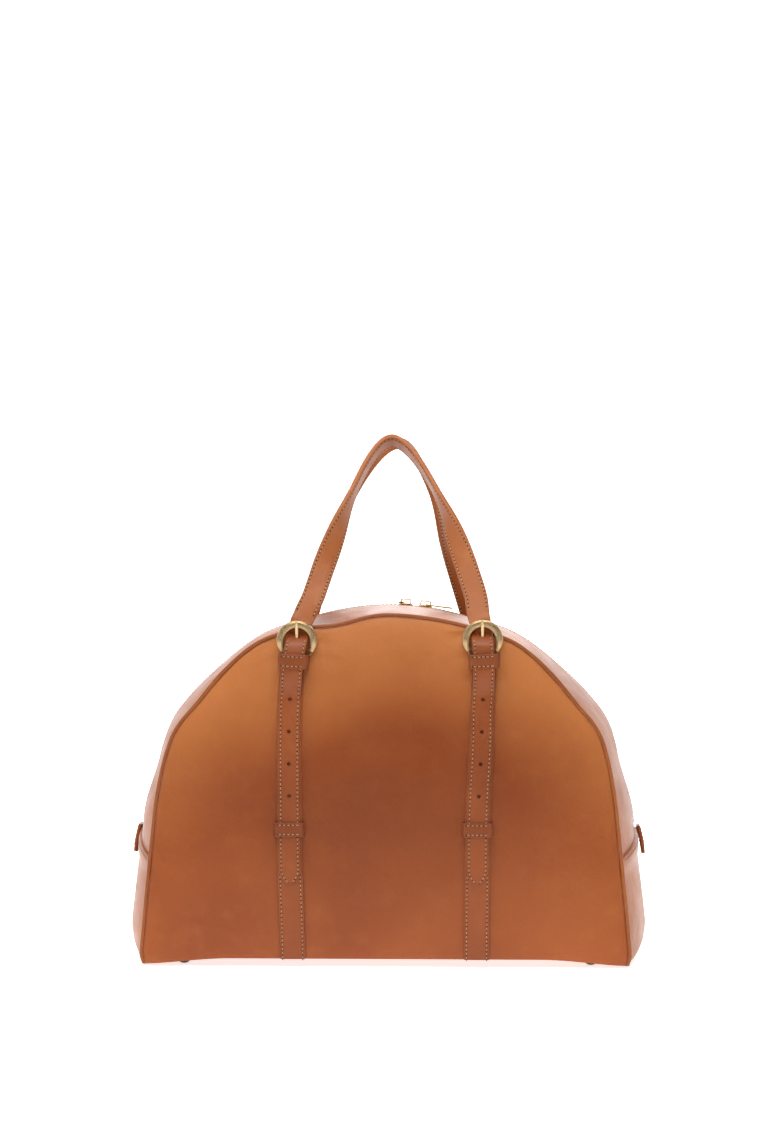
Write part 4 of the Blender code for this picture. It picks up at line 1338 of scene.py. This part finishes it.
def leather(name, deep, warm, worn, gloss, grain=1.0, creases=1.0, painted_shade_and_highlight=0.0):
    """Vegetable-tanned hide with a hand-rubbed wax: cloudy colour, fine pores and soft creases, and, when
    asked, a painted shade in the panel's middle and a painted highlight round the dome.
    """
    made, tree, shader, where = new_material(name)
    cloud = noise_at(tree, where, 130, 2, 0.4)
    cloud = spread_range(tree, cloud, 0.34, 0.66, 0, 1)
    base = blend_colours(tree, cloud, linear(deep), linear(warm))
    rub = noise_at(tree, where, 22, 5, 0.55)
    rub = spread_range(tree, rub, 0.50, 0.80, 0, 0.32)
    base = blend_colours(tree, rub, base, linear(worn))
    if painted_shade_and_highlight:
        # painted shade: the colour darkens towards the middle of the panel
        part = add(tree, "ShaderNodeMapping", None,
                   {"Vector": where, "Location": (0.0, 0.0, -1.02), "Scale": (4.0, 0.0, 6.2)})
        far = add(tree, "ShaderNodeVectorMath", {"operation": "LENGTH"}, {0: part}, out=1)
        middle = spread_range(tree, far, 0.15, 1.25, painted_shade_and_highlight, 0)
        base = blend_colours(tree, middle, base, linear("#73330c"))
        # painted highlight: a lighter band round the dome's rim, stronger higher up on the panel
        part = add(tree, "ShaderNodeMapping", None,
                   {"Vector": where, "Location": (0.0, 0.0, -ARCH_Z), "Scale": (1.0, 0.0, 1.0)})
        far = add(tree, "ShaderNodeVectorMath", {"operation": "LENGTH"}, {0: part}, out=1)
        uneven = add(tree, "ShaderNodeMath", {"operation": "MULTIPLY_ADD"}, {0: cloud, 1: 0.022, 2: far})
        rim = spread_range(tree, uneven, 0.150, 0.290, 0, 0.75)
        tall = add(tree, "ShaderNodeSeparateXYZ", None, {0: where}, out=2)
        high = spread_range(tree, tall, 0.12, 0.27, 0, 1)
        rim = add(tree, "ShaderNodeMath", {"operation": "MULTIPLY"}, {0: rim, 1: high})
        base = blend_colours(tree, rim, base, linear("#c98249"))
    pores = add(tree, "ShaderNodeTexVoronoi", {"feature": "F1"}, {"Vector": where, "Scale": per_mm(0.9)})
    tone = spread_range(tree, pores, 0.1, 0.7, 0.90, 1.05)
    shade = add(tree, "ShaderNodeMix", {"data_type": "RGBA", "blend_type": "MULTIPLY"},
                {0: 0.7, 6: base, 7: tone}, out=2)
    tree.links.new(shade, shader.inputs["Base Color"])
    patch = noise_at(tree, where, 26, 4)
    rough = spread_range(tree, patch, 0.3, 0.7, gloss - 0.06, gloss + 0.09)
    tree.links.new(rough, shader.inputs["Roughness"])
    shader.inputs["Specular IOR Level"].default_value = 0.26
    shader.inputs["Coat Weight"].default_value = 0.08
    shader.inputs["Coat Roughness"].default_value = 0.30
    shader.inputs["Sheen Weight"].default_value = 0.02
    shader.inputs["Sheen Roughness"].default_value = 0.5
    crease = noise_at(tree, where, 11, 6, 0.55)
    fold = add(tree, "ShaderNodeBump", None,
               {"Height": crease, "Distance": 0.0014 * creases, "Strength": 0.55})
    fine = noise_at(tree, where, 0.5, 2)
    skin = add(tree, "ShaderNodeMath", {"operation": "MULTIPLY_ADD"}, {0: fine, 1: 0.5, 2: pores})
    bump = add(tree, "ShaderNodeBump", None,
               {"Height": skin, "Distance": 0.00022 * grain, "Strength": 0.6, "Normal": fold})
    tree.links.new(bump, shader.inputs["Normal"])
    return made


def metal(name, bright, dull, roughness, patina):
    """Cast metal, tumbled and plated: soft highlights with a darker film in patches."""
    made, tree, shader, where = new_material(name)
    film = noise_at(tree, where, 3, 3, 0.5)
    film = spread_range(tree, film, 0.42, 0.72, 0, patina)
    base = blend_colours(tree, film, linear(bright), linear(dull))
    tree.links.new(base, shader.inputs["Base Color"])
    shader.inputs["Metallic"].default_value = 1.0
    rough = noise_at(tree, where, 1.6, 3)
    rough = spread_range(tree, rough, 0.3, 0.7, roughness - 0.05, roughness + 0.09)
    tree.links.new(rough, shader.inputs["Roughness"])
    pits = noise_at(tree, where, 0.8, 2)
    bump = add(tree, "ShaderNodeBump", None, {"Height": pits, "Distance": 0.00001, "Strength": 0.1})
    tree.links.new(bump, shader.inputs["Normal"])
    return made


def woven(name, light, dark, thread_size, roughness=0.85):
    """A plain weave: two sets of threads that cross, a little uneven in colour."""
    made, tree, shader, where = new_material(name)
    threads = {"Vector": where, "Scale": per_mm(thread_size) / 6.283, "Distortion": 0.6, "Detail": 1.0}
    first = add(tree, "ShaderNodeTexWave", {"bands_direction": "X"}, threads, out=1)
    second = add(tree, "ShaderNodeTexWave", {"bands_direction": "Z"}, threads, out=1)
    cloth = add(tree, "ShaderNodeMath", {"operation": "MULTIPLY"}, {0: first, 1: second})
    uneven = noise_at(tree, where, 3.0, 3)
    tone = add(tree, "ShaderNodeMath", {"operation": "MULTIPLY_ADD"}, {0: cloth, 1: 0.5, 2: uneven})
    base = blend_colours(tree, spread_range(tree, tone, 0.3, 1.0, 0, 1), linear(dark), linear(light))
    tree.links.new(base, shader.inputs["Base Color"])
    shader.inputs["Roughness"].default_value = roughness
    shader.inputs["Sheen Weight"].default_value = 0.2
    bump = add(tree, "ShaderNodeBump", None, {"Height": cloth, "Distance": 0.0002, "Strength": 0.6})
    tree.links.new(bump, shader.inputs["Normal"])
    return made


def waxed_thread():
    """Polyester thread drawn through wax: fine twisted strands with a low gloss."""
    made, tree, shader, where = new_material("waxed_thread")
    strands = add(tree, "ShaderNodeTexWave", {"bands_direction": "DIAGONAL"},
                  {"Vector": where, "Scale": per_mm(0.35) / 6.283, "Distortion": 0.8}, out=1)
    uneven = noise_at(tree, where, 7, 3)
    base = blend_colours(tree, uneven, linear("#946540"), linear("#c69a70"))
    tree.links.new(base, shader.inputs["Base Color"])
    shader.inputs["Roughness"].default_value = 0.6
    bump = add(tree, "ShaderNodeBump", None, {"Height": strands, "Distance": 0.00008, "Strength": 0.6})
    tree.links.new(bump, shader.inputs["Normal"])
    return made


def plain_stuff(name, light, dark, size, roughness):
    """A dull material with a mottled tone: pressed board, a needle hole's shadow or a studio floor."""
    made, tree, shader, where = new_material(name)
    base = blend_colours(tree, noise_at(tree, where, size, 4), linear(dark), linear(light))
    tree.links.new(base, shader.inputs["Base Color"])
    shader.inputs["Roughness"].default_value = roughness
    return made


def make_materials():
    # the hide gets a painted shade in the panels' middle and a painted highlight round the dome
    MATERIALS["leather"] = leather("waxed_cognac_hide", "#8c4216", "#9f521f", "#b0682f", 0.34, painted_shade_and_highlight=0.75)
    MATERIALS["gusset"] = leather("waxed_cognac_gusset", "#8f4819", "#a35a27", "#b57038", 0.36)
    MATERIALS["piping"] = leather("piping_leather", "#84421a", "#9a5526", "#b3703f", 0.36, creases=0.5)
    MATERIALS["strap"] = leather("strap_leather", "#7c3b18", "#904a22", "#a25f34", 0.40, creases=0.4)
    MATERIALS["keeper"] = leather("keeper_leather", "#703416", "#85431f", "#985833", 0.42, creases=0.3)
    MATERIALS["handle"] = leather("handle_leather", "#945126", "#a8653a", "#b97a4e", 0.42, creases=0.5)
    MATERIALS["brass"] = metal("antique_brass", "#d2b68a", "#a3865a", 0.30, 0.30)
    MATERIALS["gold"] = metal("gold_plated_zinc", "#d6b173", "#94703a", 0.24, 0.45)
    MATERIALS["dark_metal"] = metal("burnished_studs", "#5c4a34", "#2c221a", 0.30, 0.8)
    MATERIALS["tape"] = woven("zip_tape_weave", "#7d5636", "#4f3320", 0.7)
    MATERIALS["cotton"] = woven("cotton_lining", "#8b7a63", "#65573f", 0.9)
    MATERIALS["thread"] = waxed_thread()
    # dark discs at the stitches: painted shadow of the needle holes
    MATERIALS["needle_hole_shadow"] = plain_stuff("needle_hole_shadow", "#2c150b", "#1a0c06", 1.0, 0.9)
    MATERIALS["board"] = plain_stuff("pressed_fibre_board", "#4a4038", "#2e2721", 2.5, 0.8)


# Operators


class BAG_OT_materials(bpy.types.Operator):
    """Make the leather, metal, thread and cloth"""

    bl_idname = "bag.materials"
    bl_label = "Materials"

    def execute(self, context):
        make_materials()
        return {"FINISHED"}


class BAG_OT_shell(bpy.types.Operator):
    """Build the panels, piping, gussets and base of the bag"""

    bl_idname = "bag.shell"
    bl_label = "Shell"

    def execute(self, context):
        need("front_panel", "back_panel", "left_end_gusset", "right_end_gusset", "base_panel")
        for facing, name in SIDES:
            build_panel(facing, name)
            build_piping(facing, name)
            build_zip_gusset(facing, name)
        for side, name in HANDS:
            build_end_gusset(side, name)
        build_base_panel()
        return {"FINISHED"}


class BAG_OT_inside(bpy.types.Operator):
    """Build the cotton lining and dress the board under it"""

    bl_idname = "bag.inside"
    bl_label = "Inside"

    def execute(self, context):
        need("base_lining", "base_board", "front_lining", "back_lining")
        for facing, name in SIDES:
            build_lining(facing, name)
        build_inside()
        return {"FINISHED"}


class BAG_OT_feet(bpy.types.Operator):
    """Build the four studs under the base"""

    bl_idname = "bag.feet"
    bl_label = "Feet"

    def execute(self, context):
        need("front_left_foot", "front_right_foot", "back_left_foot", "back_right_foot")
        build_feet()
        return {"FINISHED"}


class BAG_OT_straps(bpy.types.Operator):
    """Build the base straps, the tails with their holes and the keepers"""

    bl_idname = "bag.straps"
    bl_label = "Straps"

    def execute(self, context):
        _lie, _ring, _fold, front, low = strap_levels()
        high = BAR_Z - KEEPER_GAP - settings("strap").keeper_height / 2
        for facing, half in SIDES:
            for hand, side in HANDS:
                name = f"{half}_{side}"
                need(f"{name}_base_strap", f"{name}_strap_tail", f"{name}_upper_keeper")
                base_strap(facing, hand, name, f"{half}_half")
                tail_strap(facing, hand, name, f"{half}_half")
                keeper(facing, hand, f"{name}_upper_keeper", f"{half}_half", high, front)
                keeper(facing, hand, f"{name}_lower_keeper", f"{half}_half", LOWER_KEEPER_Z, low)
        return {"FINISHED"}


class BAG_OT_buckles(bpy.types.Operator):
    """Build the round buckles and their prongs"""

    bl_idname = "bag.buckles"
    bl_label = "Buckles"

    def execute(self, context):
        for facing, half in SIDES:
            for hand, side in HANDS:
                name = f"{half}_{side}"
                need(f"{name}_buckle_frame", f"{name}_buckle_prong")
                buckle_frame(facing, hand, name, f"{half}_half")
                buckle_prong(facing, hand, name)
        return {"FINISHED"}


class BAG_OT_handles(bpy.types.Operator):
    """Build the two arched handles with their stitches"""

    bl_idname = "bag.handles"
    bl_label = "Handles"

    def execute(self, context):
        need("front_handle", "back_handle")
        for facing, name in SIDES:
            build_handle(facing, name)
        return {"FINISHED"}


class BAG_OT_zip(bpy.types.Operator):
    """Build the tapes, teeth, sliders, pullers and end tabs of the zip"""

    bl_idname = "bag.zip"
    bl_label = "Zip"

    def execute(self, context):
        need("front_zip_teeth", "back_zip_teeth")
        need("left_slider", "right_slider", "left_puller", "right_puller")
        for phase, (facing, name) in enumerate(SIDES):
            build_tape(facing, name)
            build_teeth(facing, name, phase * 0.5)
        build_slider(LEFT_SLIDER_ANGLE, "left")
        build_slider(RIGHT_SLIDER_ANGLE, "right")
        swing = crown_leg(LEFT_SLIDER_ANGLE, -1) @ Matrix.Rotation(pi / 2, 4, "Z")
        build_puller("left", swing, PULLER_START)
        flip = crown_leg(RIGHT_SLIDER_ANGLE, 1) @ Matrix.Translation((-0.0010, 0, 0))
        build_puller("right", flip, PULLER_START)
        for side, name in HANDS:
            build_end_tab(side, name)
        return {"FINISHED"}


class BAG_OT_stage(bpy.types.Operator):
    """Set up the pale floor, the soft lights and the camera"""

    bl_idname = "bag.stage"
    bl_label = "Stage"

    def execute(self, context):
        build_stage()
        return {"FINISHED"}


class BAG_PT_panel(bpy.types.Panel):
    """Settings and steps of the bag's looks"""

    bl_label = "Weekender Bag"
    bl_idname = "BAG_PT_panel"
    bl_space_type = "VIEW_3D"
    bl_region_type = "UI"
    bl_category = "Bag"

    def draw(self, context):
        for key, kind in GROUPS.items():
            box = self.layout.box()
            box.label(text=key.title())
            for field in kind.__annotations__:
                box.prop(getattr(context.scene, f"bag_{key}"), field)
        for kind in OPERATORS:
            self.layout.operator(kind.bl_idname)


def area_light(name, spot, target, size, power, colour):
    data = bpy.data.lights.new(name, "AREA")
    data.shape = "RECTANGLE"
    data.size, data.size_y = size
    data.energy = power
    data.color = linear(colour)[:3]
    light = bpy.data.objects.new(name, data)
    light.location = spot
    light.rotation_euler = (Vector(target) - Vector(spot)).to_track_quat("-Z", "Y").to_euler()
    light.visible_camera = False
    bpy.context.scene.collection.objects.link(light)


def build_stage():
    look = settings("stage")
    scene = bpy.context.scene
    reach, back, curve = 6.0, 3.2, 1.2
    path = [(-6.0, 0.0), (back - curve, 0.0)]
    for i in range(1, 17):
        turn = pi / 2 * i / 16
        path.append((back - curve + curve * sin(turn), curve - curve * cos(turn)))
    path.append((back, 5.0))
    points = [(x, y, z) for y, z in path for x in (-reach, reach)]
    faces = [(2 * i, 2 * i + 1, 2 * i + 3, 2 * i + 2) for i in range(len(path) - 1)]
    floor = make_object("studio_floor", points, faces)
    paper = plain_stuff("studio_paper", "#fbfbfb", "#f4f4f4", 900, 0.9)
    shader = paper.node_tree.nodes["Principled BSDF"]
    shader.inputs["Emission Color"].default_value = (1, 1, 1, 1)
    tree = paper.node_tree
    where = add(tree, "ShaderNodeTexCoord", out=3)
    depth = add(tree, "ShaderNodeSeparateXYZ", None, {0: where}, out=1)
    glow = spread_range(tree, depth, -1.1, 0.25, 0.10, 0.95)
    tree.links.new(glow, shader.inputs["Emission Strength"])
    floor.data.materials.append(paper)

    world = bpy.data.worlds.new("studio")
    world.use_nodes = True
    sky = world.node_tree.nodes["Background"]
    sky.inputs["Color"].default_value = linear("#fbfbff")
    sky.inputs["Strength"].default_value = 0.12
    scene.world = world
    scene.view_settings.view_transform = "Standard"
    area_light("overhead", (-0.1, -0.6, 1.8), (0, 0, 0.2), (1.4, 1.0), 25.5, "#fffaf2")
    area_light("brow", (-0.1, -1.7, 1.45), (0, 0, 0.3), (1.5, 0.5), 9, "#fffaf2")
    area_light("front_fill", (-0.6, -3.4, 1.5), (0, 0, 0.25), (2.0, 1.2), 3, "#ffffff")
    area_light("left_side", (-3.2, -1.5, 1.1), (0, 0, 0.2), (1.2, 1.6), 21, "#ffffff")
    area_light("right_side", (3.2, -1.4, 1.1), (0, 0, 0.2), (1.2, 1.6), 13, "#ffffff")
    area_light("behind", (0.4, 2.4, 1.9), (0, 0, 0.2), (1.6, 1.2), 22, "#ffffff")

    data = bpy.data.cameras.new("view")
    data.lens = look.lens
    camera = bpy.data.objects.new("view", data)
    camera.location = (look.distance * sin(look.turn), -look.distance * cos(look.turn), look.height)
    aim = Vector((0, 0, look.height)) - camera.location
    camera.rotation_euler = aim.to_track_quat("-Z", "Y").to_euler()
    scene.collection.objects.link(camera)
    scene.camera = camera


GROUPS = {
    "body": BodySettings, "strap": StrapSettings, "handle": HandleSettings, "zip": ZipSettings,
    "stitch": StitchSettings, "stage": StageSettings,
}
OPERATORS = (
    BAG_OT_materials, BAG_OT_shell, BAG_OT_inside, BAG_OT_feet, BAG_OT_straps, BAG_OT_buckles,
    BAG_OT_handles, BAG_OT_zip, BAG_OT_stage,
)


def register():
    for key, kind in GROUPS.items():
        bpy.utils.register_class(kind)
        setattr(bpy.types.Scene, f"bag_{key}", PointerProperty(type=kind))
    for kind in (*OPERATORS, BAG_PT_panel):
        bpy.utils.register_class(kind)


def unregister():
    for kind in reversed((*OPERATORS, BAG_PT_panel)):
        bpy.utils.unregister_class(kind)
    for key, kind in reversed(GROUPS.items()):
        delattr(bpy.types.Scene, f"bag_{key}")
        bpy.utils.unregister_class(kind)


def main():
    register()
    bpy.ops.bag.materials()
    bpy.ops.bag.shell()
    bpy.ops.bag.inside()
    bpy.ops.bag.feet()
    bpy.ops.bag.straps()
    bpy.ops.bag.buckles()
    bpy.ops.bag.handles()
    bpy.ops.bag.zip()
    bpy.ops.bag.stage()


if __name__ == "__main__":
    main()
